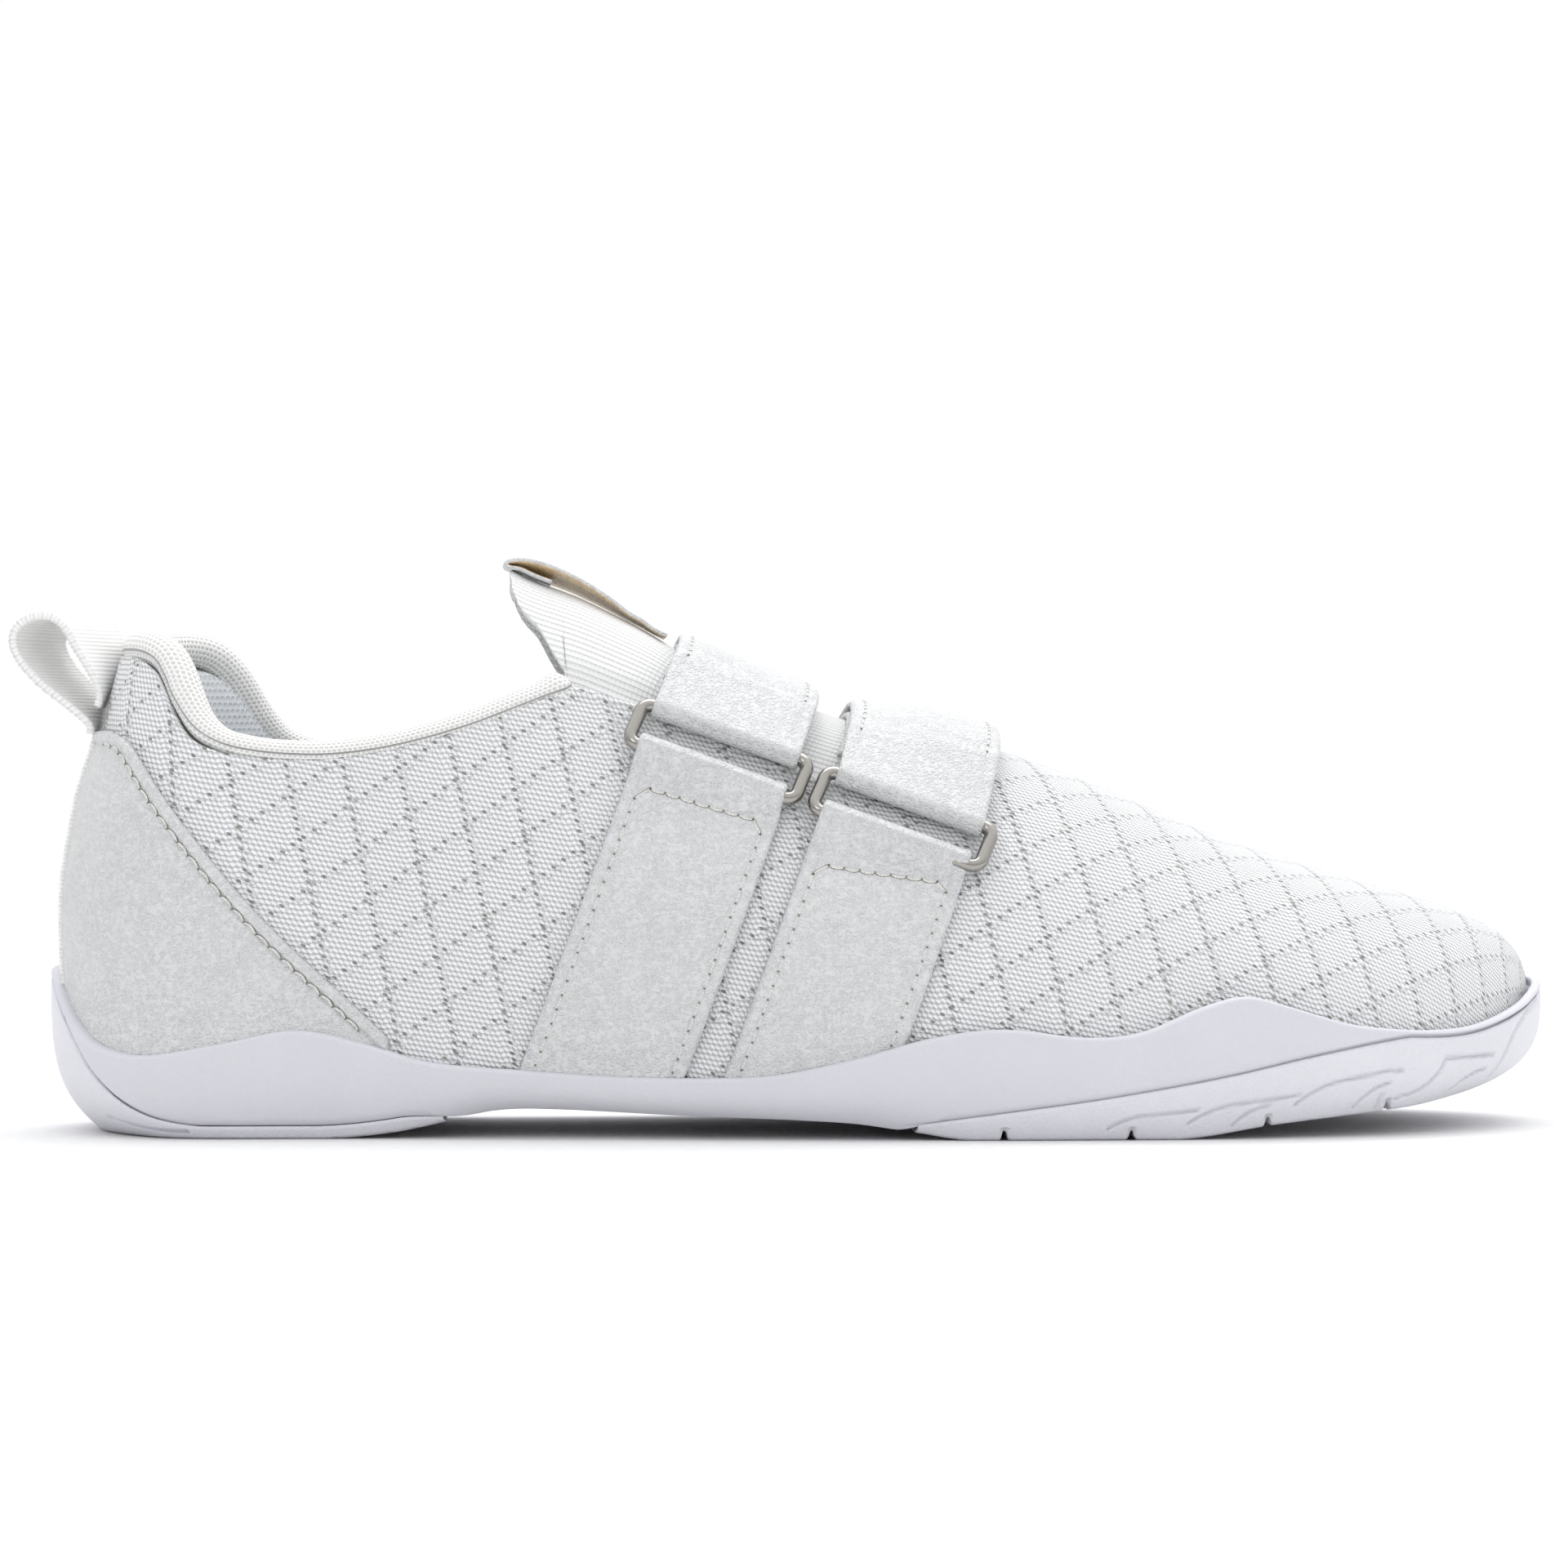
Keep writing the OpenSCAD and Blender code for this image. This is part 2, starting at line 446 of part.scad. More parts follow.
tongue_low = -knit - 0.35;         // height of the tongue where it lies under the knit
tongue_high = -1;                  // and where it stands free above the throat
tongue_thick = 1.6;
tongue_back = 84;
tongue_front = 112;                // where its free end goes on as the sewn-in base
split_line = [[80, 82], [92, 82], [112, 80.4]];
tongue_back_line = [[82.2, 98.6], [82.8, 94.6], [84.5, 91.5], [87, 88.8], [89.2, 84.8],
    [91.5, 82]];
function tongue_t(x, z) = mix(tongue_low - 0.9 * smooth((x - 150) / 8), tongue_high,
    smooth((116 - x) / 12) * smooth((z - curve(throat_line, x) - 0.5) / 4));
function tongue_point(x, th, inner) = let (z = last(x, th, -1.5)[2])
    last(x, th, tongue_t(x, z) - (inner ? tongue_thick : 0));

module tongue_base() {
    xs = concat(steps(tongue_front + 0.6, 156, 10), [160, 164, 168]);
    function reach(x) = angle_at(x, x < 157 ? curve(throat_line, x) - 5 : 58.6);
    function row_full(x, inner) = [for (k = steps(0, 1, 14))
        tongue_point(x, mix(reach(x), 180 - reach(x), k), inner)];
    wing = steps(94.4, tongue_front + 0.6, 6);
    function wing_line(x, outer, inner) = let (hi = angle_at(x, curve(split_line, x) - 0.7, -1.5))
        [for (k = steps(0, 1, 4)) tongue_point(x, side_angle(mix(reach(x), hi, k), outer), inner)];
    function wing_grid(outer, inner) = [for (x = outer ? wing : backwards(wing))
        wing_line(x, outer, inner)];
    color([0.98, 0.98, 0.97]) {
        sheet([for (x = xs) row_full(x, false)], [for (x = xs) row_full(x, true)]);
        for (outer = [true, false]) sheet(wing_grid(outer, false), wing_grid(outer, true));
    }
}

// Free end of the tongue, above the collar
module tongue() {
    xs = concat([tongue_back, 84.8, 85.8, 87.2, 89.2, 91.4], steps(94.5, tongue_front, 6));
    function low_z(x) = x < 91.4 ? curve(tongue_back_line, x) : curve(split_line, x);
    function row(x, inner) = let (a = angle_at(x, low_z(x), -1.5))
        [for (k = steps(0, 1, 14)) tongue_point(x, mix(a, 180 - a, k), inner)];
    color([0.98, 0.98, 0.97]) sheet([for (x = xs) row(x, false)], [for (x = xs) row(x, true)]);
}

// Strip folded over the back end of the tongue and sewn down in front
tab_width = 12; // across the tongue
module tongue_pull_tab() {
    function on_top(x) = [x, curve(top_line, x) + tongue_high + 0.85];
    path = [on_top(90), on_top(87), on_top(84.4), [82.6, 100.2], [81.8, 100.65], [82.4, 101.25],
        [84.8, 101.5], [88.1, 100.9], [92.1, 99.4], [96.5, 97.1], [100.5, 94.5], [103.6, 92.1],
        [106, on_top(106)[1] + 0.5], on_top(108), on_top(110.5)];
    n = len(path) - 1;
    function side(i) = let (d = unit(path[min(i + 1, n)] - path[max(i - 1, 0)])) [-d[1], d[0]] * 0.45;
    color([0.95, 0.92, 0.86]) rotate([90, 0, 0]) linear_extrude(height = tab_width, center = true)
        polygon(concat([for (i = [0 : n]) path[i] + side(i)],
            [for (i = [n : -1 : 0]) path[i] - side(i)]));
}

// ---------------------------------------------------------------- straps and rings

lean_dir = [cos(strap_lean), -sin(strap_lean)];    // across a strap, seen from the side
sleeve_in = wire_d / 2 + 0.06;                     // strap folded round a bar of the ring
sleeve_out = sleeve_in + strap_thick;
ring_t = play + sleeve_out;                        // height of the bars above the knit

// Where a strap crosses the tongue it lies lower, between the two edges of the knit
throat_dip = 1.7;
function strap_lift(x0, z0, x, th) = let (a = th < 90 ? th : 180 - th, start = angle_at(x0, z0 + 7))
    play - throat_dip * smooth((a - start) / 14) * (1 - smooth((x - 149) / 8));
// The place on the surface at angle th that is off across the strap through [x0, z0]
function strap_x(x0, z0, off, th, t, n = 5) = n == 0 ? x0
    : let (x = strap_x(x0, z0, off, th, t, n - 1), p = last(x, th, t))
        x + (off - ([p[0], p[2]] - [x0, z0]) * lean_dir) / lean_dir[0];
function strap_point(x0, z0, off, th, h) = let (x = strap_x(x0, z0, off, th, h))
    last(x, th, h + strap_lift(x0, z0, x, th));
// Point on the outer side of the knit at a place given in the side view
function side_point(p, t) = let (th = angle_at(p[0], p[1], t)) last(p[0], th, t);

// Frame of a ring: [centre, along the bars, up the strap, out of the foot]
function ring_frame(x0, z0) = let (c = [x0, z0], a = side_point(c - 12 * lean_dir, ring_t),
        b = side_point(c + 12 * lean_dir, ring_t), along = unit(b - a),
        up_try = side_point(c + [sin(strap_lean), cos(strap_lean)] * 4, ring_t) - side_point(c, ring_t),
        out = unit(cross(along, up_try)))
    [(a + b) / 2, along, unit(cross(out, along)), out];
rear_frame = ring_frame(rear_ring_x, rear_ring_z);
front_frame = ring_frame(front_ring_x, front_ring_z);

module place(f) multmatrix([for (i = [0 : 2]) [f[1][i], f[2][i], f[3][i], f[0][i]]]) children();
module bar_cylinder(y, r, l) translate([0, y, 0]) rotate([0, 90, 0])
    cylinder(r = r, h = l, center = true, $fn = 48);

module wire_ring() {
    corner = 1.9;
    half = ring_inside / 2 + wire_d / 2;
    for (s = [-1, 1]) {
        bar_cylinder(s * bar_gap / 2, wire_d / 2, 2 * (half - corner));
        translate([s * half, 0, 0]) rotate([90, 0, 0])
            cylinder(d = wire_d, h = bar_gap - 2 * corner, center = true, $fn = 48);
        for (q = [-1, 1]) translate([s * (half - corner), q * (bar_gap / 2 - corner), 0])
            rotate([0, 0, s > 0 ? (q > 0 ? 0 : -90) : (q > 0 ? 90 : 180)])
                rotate_extrude(angle = 90, $fn = 48)
                    translate([corner, 0]) circle(d = wire_d, $fn = 48);
    }
}

module sleeve(y) difference() {
    bar_cylinder(y, sleeve_out - 0.08, strap_width);
    bar_cylinder(y, sleeve_in, strap_width + 2);
}

// Angle on the surface, in the strap's middle, level with a distance up from the ring's centre
function strap_angle(x0, z0, up, t) = let (c = [x0, z0] + [sin(strap_lean), cos(strap_lean)] * up)
    angle_at(c[0], c[1], t);
across = [-0.5, -0.4, -0.2, 0, 0.2, 0.4, 0.5];
tape_across = [-0.4, -0.2, 0, 0.2, 0.4];
// Place at the sole's rim, off across the strap
function rim_x(x0, z0, off) = x0 + off * strap_width / lean_dir[0] - (z0 - 15) * tan(strap_lean);
function rim_angle(x0, z0, off, t) = let (x = rim_x(x0, z0, off))
    angle_at(x, curve(rim_line, x) + 0.5, t);
// Point beside a ring: off along its bars, up the strap and out of the foot
function ring_point(f, off, up, out) = f[0] + f[1] * off * strap_width + f[2] * up + f[3] * out;

// Tape over the instep, between the heights h0 and h1
module strap_tape(x0, z0, angles, h0, h1) {
    function row(off, h) = [for (a = angles) strap_point(x0, z0, off * strap_width, a, h)];
    sheet([for (k = tape_across) row(k, h1)], [for (k = tape_across) row(k, h0)]);
}

// Leather strap from the sole to the ring's lower bar, folded round it and sewn to itself
module anchor_strap(x0, z0, f) {
    double = 2 * strap_thick - 0.5;
    function line(off, h, out) = let (a = rim_angle(x0, z0, off, play),
            b = strap_angle(x0, z0, -bar_gap / 2 - 5.5, 0))
        concat([for (k = steps(0, 1, 6)) strap_point(x0, z0, off * strap_width, mix(a, b, k), h)],
            [ring_point(f, off, -bar_gap / 2 - 1.3, out)]);
    color([0.95, 0.95, 0.94]) {
        sheet([for (k = across) line(k, double, 1.25)], [for (k = across) line(k, 0, -1.6)]);
        place(f) sleeve(-bar_gap / 2);
    }
}

// Layers of a strap above the foot, counted from its lowest
under_top = strap_thick;
tape_thick = 0.45;
tape_play = 0.12;
flap_low = under_top + 2 * tape_thick + play + 2 * tape_play;
tape_angles = steps(84, 126, 8);

// The strap's hidden part, from the ring over the instep and down to the sole's inner side
module under_strap(x0, z0) {
    start = strap_angle(x0, z0, bar_gap / 2 + sleeve_out + 1.4, 0);
    function angles(off) = let (end = 180 - rim_angle(x0, z0, off, play))
        concat([for (k = [0 : 4]) mix(start, 84, k / 5)], tape_angles,
            [for (k = [1 : 6]) mix(126, end, k / 6)]);
    function row(off, h) = [for (a = angles(off)) strap_point(x0, z0, off * strap_width, a, h)];
    color([0.94, 0.94, 0.93]) sheet([for (k = across) row(k, under_top)], [for (k = across) row(k, 0)]);
}
module loop_tape(x0, z0) color([0.9, 0.9, 0.9])
    strap_tape(x0, z0, tape_angles, under_top + tape_play, under_top + tape_play + tape_thick);
module hook_tape(x0, z0) color([0.87, 0.87, 0.87])
    strap_tape(x0, z0, steps(86, 122, 12), flap_low - tape_play - tape_thick, flap_low - tape_play);

flap_end = 128;
// Strap's free end, folded round the upper bar and back over the instep
module flap(x0, z0, f) {
    a = strap_angle(x0, z0, bar_gap / 2 + 6.5, 0);
    function height(off, k) = mix(flap_low + 0.25, flap_low, smooth(k / 0.3))
        - 0.5 * smooth((abs(off) - 0.4) / 0.1) * smooth(k / 0.3);
    function line(off, h, out) = concat([ring_point(f, off, bar_gap / 2 + 1.3, out)],
        [for (k = steps(0, 1, 15))
            strap_point(x0, z0, off * strap_width, mix(a, flap_end, k), height(off, k) + h)]);
    color([0.97, 0.97, 0.97]) {
        sheet([for (k = across) line(k, strap_thick, 1.6)], [for (k = across) line(k, 0, -0.4)]);
        place(f) sleeve(bar_gap / 2);
    }
}

module metal() color([0.78, 0.76, 0.72]) children();
module in_frame() translate([-origin_x, -origin_y, 0]) children();

in_frame() {
    midsole();
    forefoot_outsole();
    heel_outsole();
    lasting_board();
    insole();
    knit_upper();
    toe_puff();
    heel_counter();
    collar_foam();
    heel_lining();
    collar_binding();
    heel_panel(true);  // outer_heel_panel
    heel_panel(false);  // inner_heel_panel
    heel_ribbon();
    pull_loop();
    tongue_base();
    tongue();
    tongue_pull_tab();
    anchor_strap(rear_ring_x, rear_ring_z, rear_frame);  // rear_anchor_strap
    metal() place(rear_frame) wire_ring();  // rear_ring
    under_strap(rear_ring_x, rear_ring_z);  // rear_under_strap
    loop_tape(rear_ring_x, rear_ring_z);  // rear_loop_tape
    flap(rear_ring_x, rear_ring_z, rear_frame);  // rear_flap
    hook_tape(rear_ring_x, rear_ring_z);  // rear_hook_tape
    anchor_strap(front_ring_x, front_ring_z, front_frame);  // front_anchor_strap
    metal() place(front_frame) wire_ring();  // front_ring
    under_strap(front_ring_x, front_ring_z);  // front_under_strap
    loop_tape(front_ring_x, front_ring_z);  // front_loop_tape
    flap(front_ring_x, front_ring_z, front_frame);  // front_flap
    hook_tape(front_ring_x, front_ring_z);  // front_hook_tape
}
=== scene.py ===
"""Looks of the cheer shoe: a white knit upper on a cupped sole, with two ring straps.

Shapes are worked out in the design's own millimetres: x from the back of the heel to the toe,
y to the inner side of the foot, z up. metres() brings them into the frame. Most pieces follow one
surface, last(x, th, t), as in the CAD: th runs round the foot from 0 at the outer edge over 90 on
top to 180 at the inner edge, and t is the height above the outside of the knit.
"""
import bpy
import math
import numpy as np
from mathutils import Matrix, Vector


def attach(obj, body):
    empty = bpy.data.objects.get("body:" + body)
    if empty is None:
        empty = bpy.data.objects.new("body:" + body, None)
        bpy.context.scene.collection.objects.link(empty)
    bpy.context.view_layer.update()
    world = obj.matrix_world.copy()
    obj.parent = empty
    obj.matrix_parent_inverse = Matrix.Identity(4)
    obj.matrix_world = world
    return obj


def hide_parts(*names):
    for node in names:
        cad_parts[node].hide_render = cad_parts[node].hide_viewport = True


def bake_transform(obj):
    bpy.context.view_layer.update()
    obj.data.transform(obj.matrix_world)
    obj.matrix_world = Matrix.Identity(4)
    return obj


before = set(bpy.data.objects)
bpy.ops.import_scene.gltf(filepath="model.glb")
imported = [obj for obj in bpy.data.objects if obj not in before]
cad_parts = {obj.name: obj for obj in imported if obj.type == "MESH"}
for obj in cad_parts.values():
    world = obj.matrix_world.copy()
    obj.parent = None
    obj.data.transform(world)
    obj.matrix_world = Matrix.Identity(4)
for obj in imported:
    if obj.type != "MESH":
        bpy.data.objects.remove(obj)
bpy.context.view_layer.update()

ORIGIN = np.array([132.55, 0.64, 0.0])  # the frame's origin, in the design's millimetres
MM = 0.001
RAD = math.pi / 180


def metres(p):
    return (np.asarray(p, float) - ORIGIN) * MM


# ---- surface of the last

def mix(a, b, k):
    return a + (b - a) * k


def smooth(k):
    c = np.clip(k, 0, 1)
    return c * c * (3 - 2 * c)


def bell(x, width):
    return np.exp(-(x / width) ** 2)


def steps(count):
    return np.linspace(0, 1, count)


class Curve:
    """Smooth curve through points, held level past both ends."""

    def __init__(self, *points):
        p = np.array(points, float)
        self.x, self.y = p[:, 0], p[:, 1]
        i = np.arange(len(p))
        a, b = np.maximum(i - 1, 0), np.minimum(i + 1, len(p) - 1)
        self.slope = (self.y[b] - self.y[a]) / (self.x[b] - self.x[a])

    def __call__(self, x0):
        x = np.clip(x0, self.x[0], self.x[-1])
        i = np.clip(np.searchsorted(self.x, x, side="right") - 1, 0, len(self.x) - 2)
        h = self.x[i + 1] - self.x[i]
        k = (x - self.x[i]) / h
        return ((2 * k**3 - 3 * k**2 + 1) * self.y[i] + (k**3 - 2 * k**2 + k) * h * self.slope[i]
                + (3 * k**2 - 2 * k**3) * self.y[i + 1] + (k**3 - k**2) * h * self.slope[i + 1])


HEEL, BALL_OUT, BALL_IN = 30.5, 44.5, 44
outer_half = Curve((0, HEEL), (50, HEEL + 0.5), (90, HEEL + 3), (130, BALL_OUT - 4.5), (170, BALL_OUT),
                   (200, BALL_OUT + 2), (235, BALL_OUT + 5), (270, BALL_OUT + 7))
inner_half = Curve((0, HEEL), (45, HEEL - 0.5), (85, HEEL - 3), (115, HEEL - 2), (145, BALL_IN - 9),
                   (180, BALL_IN - 1), (205, BALL_IN - 1), (235, BALL_IN - 5), (270, BALL_IN - 7))
middle_line = Curve((0, 0), (150, 0), (200, 2.2), (240, 6), (270, 9))
top_line = Curve((0, 122), (50, 118), (70, 109), (84, 100.2), (95, 95.8), (106, 90.4), (112, 87.4),
                 (118, 84.5), (126, 81), (133, 78.4), (140, 75.8), (148, 73.7), (156, 71.6), (166, 69),
                 (174, 66.6), (186, 62.3), (198, 57.3), (209, 52.7), (223, 48), (237, 43.9), (246, 41.5),
                 (254, 38.9), (260, 36.4), (264, 34), (267, 30.6), (268.6, 27.4), (270, 23))
floor_line = Curve((0, 9), (60, 8.4), (110, 8.2), (160, 7), (200, 6.6), (225, 7.6), (250, 11), (270, 15))
heel_lean = Curve((0, 3), (20, 1.4), (36, 0.6), (45, 0.9), (53, 2.2), (60, 3.6), (69, 6.4), (78, 8.6),
                  (85, 10.6), (90, 12.6))
collar_out = Curve((3, 85.6), (7, 85.4), (10.5, 84.7), (14, 83), (17, 79.9), (19.6, 76.2), (23.4, 71.7),
                   (28, 69), (34, 67.6), (42, 66.9), (50, 67), (60, 68.4), (72, 71.6), (82, 75.4),
                   (92, 79.2))
collar_in = Curve((3, 85.6), (8, 85.8), (15, 85.9), (21, 84.8), (26, 81.8), (30, 77.6), (34, 73.2),
                  (38, 70), (44, 67.8), (50, 67.2), (60, 68.4), (72, 71.6), (82, 75.4), (92, 79.2))
throat_line = Curve((92, 79.2), (105, 75.2), (120, 69), (136, 62.6), (148, 61), (157, 63.6), (163, 69.6))
THROAT_BACK, THROAT_FRONT = 92, 163
rim_line = Curve((3, 29.2), (4.6, 24.4), (7, 20.2), (11, 16.4), (19, 14.6), (33, 16.7), (46, 19),
                 (58, 16.6), (68, 13.6), (84, 12.1), (106, 10.9), (126, 11.3), (140, 14), (154, 17.8),
                 (166, 19.3), (181, 17.9), (190, 18.8), (201, 23.2), (208, 24.8), (215, 23.2),
                 (226, 20), (234, 18.9), (243, 18.4), (250, 18.8), (256, 20.2), (262, 22.4), (266, 24.6),
                 (269.5, 26.4))
ground_line = Curve((0, 0), (48, 0), (60, 1), (70, 3), (78, 4.8), (86, 5.2), (110, 4.2), (140, 3),
                    (152, 1.4), (162, 0), (198, 0), (216, 2.4), (231, 3.9), (246, 5.2), (258, 6.3),
                    (269.5, 7.6))
toe_tread_line = Curve((150, 2.6), (163, 4.4), (184, 7.4), (205, 11.1), (221, 14.6), (238, 17.4),
                       (248, 17.6), (258, 19.6), (269.5, 25))
heel_tread_line = Curve((3, 27.8), (6, 20.6), (8.4, 16), (11.5, 11), (16.5, 6), (22, 3.4), (32, 2.2),
                        (76, 2))
X_HEEL = 3.0
X_TOE = 268.9
X_MID, HALF_LEN = (X_HEEL + X_TOE) / 2, (X_TOE - X_HEEL) / 2
END_GAP, SOLE_OUT, KNIT, PLAY = 0.0001, 2.0, 1.6, 0.3
HEEL_TREAD_END, TOE_TREAD_START, TREAD = 76, 148, 2.4


def rounding(d, a, n):
    return np.where(d >= a, 1.0, (1 - (1 - np.clip(d, 0, a) / a) ** n) ** (1 / n))


def half_width(x, outer, t):
    o = (outer_half(x) + t) * rounding(x - X_HEEL, 33, 2.2) * rounding(X_TOE - x, 78, 2.1)
    i = (inner_half(x) + t) * rounding(x - X_HEEL, 33, 2.2) * rounding(X_TOE - x, 55, 2.3)
    return np.where(outer, o, i)


def stretch(x, t):
    return X_MID + (x - X_MID) * (HALF_LEN + t) / HALF_LEN


def lean(x, z):
    return heel_lean(z) * (1 - np.clip((x - X_HEEL) / 58, 0, 1)) ** 2


def sole_low(x):
    return np.maximum(ground_line(x), 0)


def sole_side(x, z):
    tuck = 4 + 5 * (1 - smooth((x - X_HEEL) / 22)) + 5.5 * smooth((x - 238) / 28)
    lo = sole_low(x)
    k = np.clip((z - lo) / (rim_line(x) - lo), 0, 1)
    return SOLE_OUT - tuck * (1 - k) ** 4


def cup_shift(x, z):
    return np.where(z > rim_line(x), 0, np.minimum(0, sole_side(x, z) - 1.95))


def plan(x, outer, t):
    """Outline of the surface at height t seen from above, as x and y."""
    return stretch(x, t), middle_line(x) + np.where(outer, -1, 1) * half_width(x, outer, t)


def round_power(x):
    return 2 + 0.2 * smooth((x - 50) / 40) + 0.2 * smooth((x - 170) / 60)


def last(x, th, t):
    x, th, t = np.broadcast_arrays(x, th, t)
    n, low, high = round_power(x), floor_line(x), top_line(x) + t
    sine, cosine = (np.abs(f(th * RAD)) ** (2 / n) for f in (np.sin, np.cos))
    z = low + (high - low) * sine
    tt = t + cup_shift(x, z)
    y = middle_line(x) + np.where(th < 90, -1, 1) * half_width(x, th < 90, tt) * cosine
    return np.stack([stretch(x, tt) + lean(x, z), y, z], -1)


def angle_at(x, z, t=0.0):
    """The angle round the foot at which the surface reaches height z."""
    low, high = floor_line(x), top_line(x) + t
    return np.arcsin(np.clip((z - low) / (high - low), 0, 1) ** (round_power(x) / 2)) / RAD


def side_angle(a, outer):
    return np.where(outer, a, 180 - a)


def unit(v):
    return v / np.maximum(np.linalg.norm(v, axis=-1, keepdims=True), 1e-12)


def lengths(path, axis=0):
    """Distance run along rows of points, from 0 at the first."""
    step = np.linalg.norm(np.diff(path, axis=axis), axis=-1)
    return np.insert(np.cumsum(step, axis), 0, 0.0, axis)


def even_stations(a, b, count, z=None, th=20.0):
    """Stations from a to b that are equally far apart along the side of the shoe."""
    x = mix(a, b, (1 - np.cos(np.linspace(0, math.pi, 3000))) / 2)
    d = lengths(last(x, th if z is None else angle_at(x, z), 0))
    return np.interp(np.linspace(0, d[-1], count), d, x)


def grid_normals(p):
    """Normals of a grid of points: along its rows, then its columns, they point out."""
    return unit(np.cross(np.gradient(p, axis=0), np.gradient(p, axis=1)))


# ---- meshes

def add_object(name, data):
    obj = bpy.data.objects.new(name, data)
    bpy.context.scene.collection.objects.link(obj)
    return obj


def new_object(name, points, faces, body, material, uv=None, replaces=(), picks=None):
    """A piece from points in millimetres. faces is a list of arrays, one for each number of corners."""
    mesh = bpy.data.meshes.new(name)
    faces = [np.asarray(f, np.int32) for f in faces if len(f)]
    loops = np.concatenate([f.ravel() for f in faces])
    sizes = np.concatenate([np.full(len(f), f.shape[1], np.int32) for f in faces])
    mesh.vertices.add(len(points))
    mesh.vertices.foreach_set("co", metres(points).astype(np.float32).ravel())
    mesh.loops.add(len(loops))
    mesh.loops.foreach_set("vertex_index", loops)
    mesh.polygons.add(len(sizes))
    mesh.polygons.foreach_set("loop_start", (np.cumsum(sizes) - sizes).astype(np.int32))
    mesh.polygons.foreach_set("use_smooth", np.ones(len(sizes), bool))
    mesh.update(calc_edges=True)
    if uv is not None:
        layer = mesh.uv_layers.new(name="cloth")
        layer.data.foreach_set("uv", np.asarray(uv, np.float32)[loops].ravel())
    for m in material if isinstance(material, (list, tuple)) else [material]:
        mesh.materials.append(m)
    if picks is not None:
        mesh.polygons.foreach_set("material_index", np.asarray(picks, np.int32))
    obj = add_object(name, mesh)
    if body:
        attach(obj, body)
    if replaces:
        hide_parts(*replaces)
    return obj


def grid_uv(u, v):
    return np.stack(np.broadcast_arrays(u, v), -1)


def quads(m, n, closed=False):
    """Faces of a grid of m rows and n columns. When closed, its last column joins its first."""
    i, j = np.meshgrid(np.arange(m - 1), np.arange(n if closed else n - 1), indexing="ij")
    i2, j2 = i + 1, (j + 1) % n
    return np.stack([i * n + j, i2 * n + j, i2 * n + j2, i * n + j2], -1).reshape(-1, 4)


def shell(outer, inner, uv=None, step=1):
    """Closed solid between an outer grid and every step-th row and column of an inner one."""
    m, n = outer.shape[:2]
    few = inner[::step, ::step]
    fm, fn = few.shape[:2]
    dense = np.arange(m * n).reshape(m, n)
    coarse = m * n + np.arange(fm * fn).reshape(fm, fn)
    edges = [(dense[0], coarse[0], 1), (dense[-1], coarse[-1], -1),
             (dense[:, 0], coarse[:, 0], -1), (dense[:, -1], coarse[:, -1], 1)]
    fans = []
    for d, c, way in edges:
        for k in range(len(c) - 1):
            run = d[k * step:(k + 1) * step + 1]
            fans += [(run[q], run[q + 1], c[k])[::way] for q in range(step)]
            fans.append((run[-1], c[k + 1], c[k])[::way])
    points = np.concatenate([outer.reshape(-1, 3), few.reshape(-1, 3)])
    faces = [quads(m, n), (quads(fm, fn) + m * n)[:, ::-1], np.array(fans)]
    if uv is not None:
        uv = np.concatenate([uv.reshape(-1, 2), uv[::step, ::step].reshape(-1, 2)])
    return points, faces, uv


def around(sides):
    return (np.arange(sides) * 2 * math.pi / sides)[:, None]


def tube(path, radius, sides, up):
    """Points and faces of a closed tube round a path."""
    run = unit(np.gradient(path, axis=0))
    side = unit(np.cross(run, up))
    top = np.cross(side, run)
    a = around(sides)
    ring = side[:, None] * np.cos(a) + top[:, None] * np.sin(a)
    points = path[:, None] + np.reshape(radius, (-1, 1, 1)) * ring
    return points.reshape(-1, 3), tube_faces(len(path), sides)


def tube_faces(m, n):
    """The walls and the two ends of a closed grid."""
    ends = [np.arange(n)[None], (np.arange(n)[::-1] + (m - 1) * n)[None]]
    return [quads(m, n, True)[:, ::-1]] + ends


def join(parts):
    """Several (points, faces) as one: faces are lists of arrays."""
    points, faces, start = [], [], 0
    for p, f in parts:
        points.append(p)
        faces += [a + start for a in f]
        start += len(p)
    return np.concatenate(points), faces


# ---- numbers in a node tree

def new_node(tree, kind, inputs, **settings):
    """A node with settings. Its inputs are numbers, or sockets to link."""
    n = tree.nodes.new("ShaderNode" + kind)
    for key, v in settings.items():
        setattr(n, key, v)
    for key, v in inputs.items():
        if isinstance(v, bpy.types.NodeSocket):
            tree.links.new(v, n.inputs[key])
        else:
            n.inputs[key].default_value = v
    return n


class Value:
    """A number in a node tree, so that a formula is written as one."""

    def __init__(self, tree, socket):
        self.tree, self.socket = tree, socket

    def op(self, name, *others):
        inputs = {i: v.socket if isinstance(v, Value) else v for i, v in enumerate((self,) + others)}
        return Value(self.tree, new_node(self.tree, "Math", inputs, operation=name).outputs[0])

    def __add__(self, b):
        return self.op("ADD", b)

    def __sub__(self, b):
        return self.op("SUBTRACT", b)

    def __mul__(self, b):
        return self.op("MULTIPLY", b)

    def __rsub__(self, a):
        return self * -1 + a

    __radd__, __rmul__ = __add__, __mul__


def frac(x):
    return x.op("FRACT") if isinstance(x, Value) else x - np.floor(x)


def fade(x, lo, hi):
    """From 0 at lo to 1 at hi, smoothly."""
    if not isinstance(x, Value):
        return smooth((x - lo) / (hi - lo))
    inputs = {"Value": x.socket, "From Min": lo, "From Max": hi}
    n = new_node(x.tree, "MapRange", inputs, interpolation_type="SMOOTHSTEP")
    return Value(x.tree, n.outputs["Result"])


def away(x, step):
    """Signed distance from x to the nearest whole multiple of step."""
    return (frac(x * (1 / step) + 0.5) - 0.5) * step


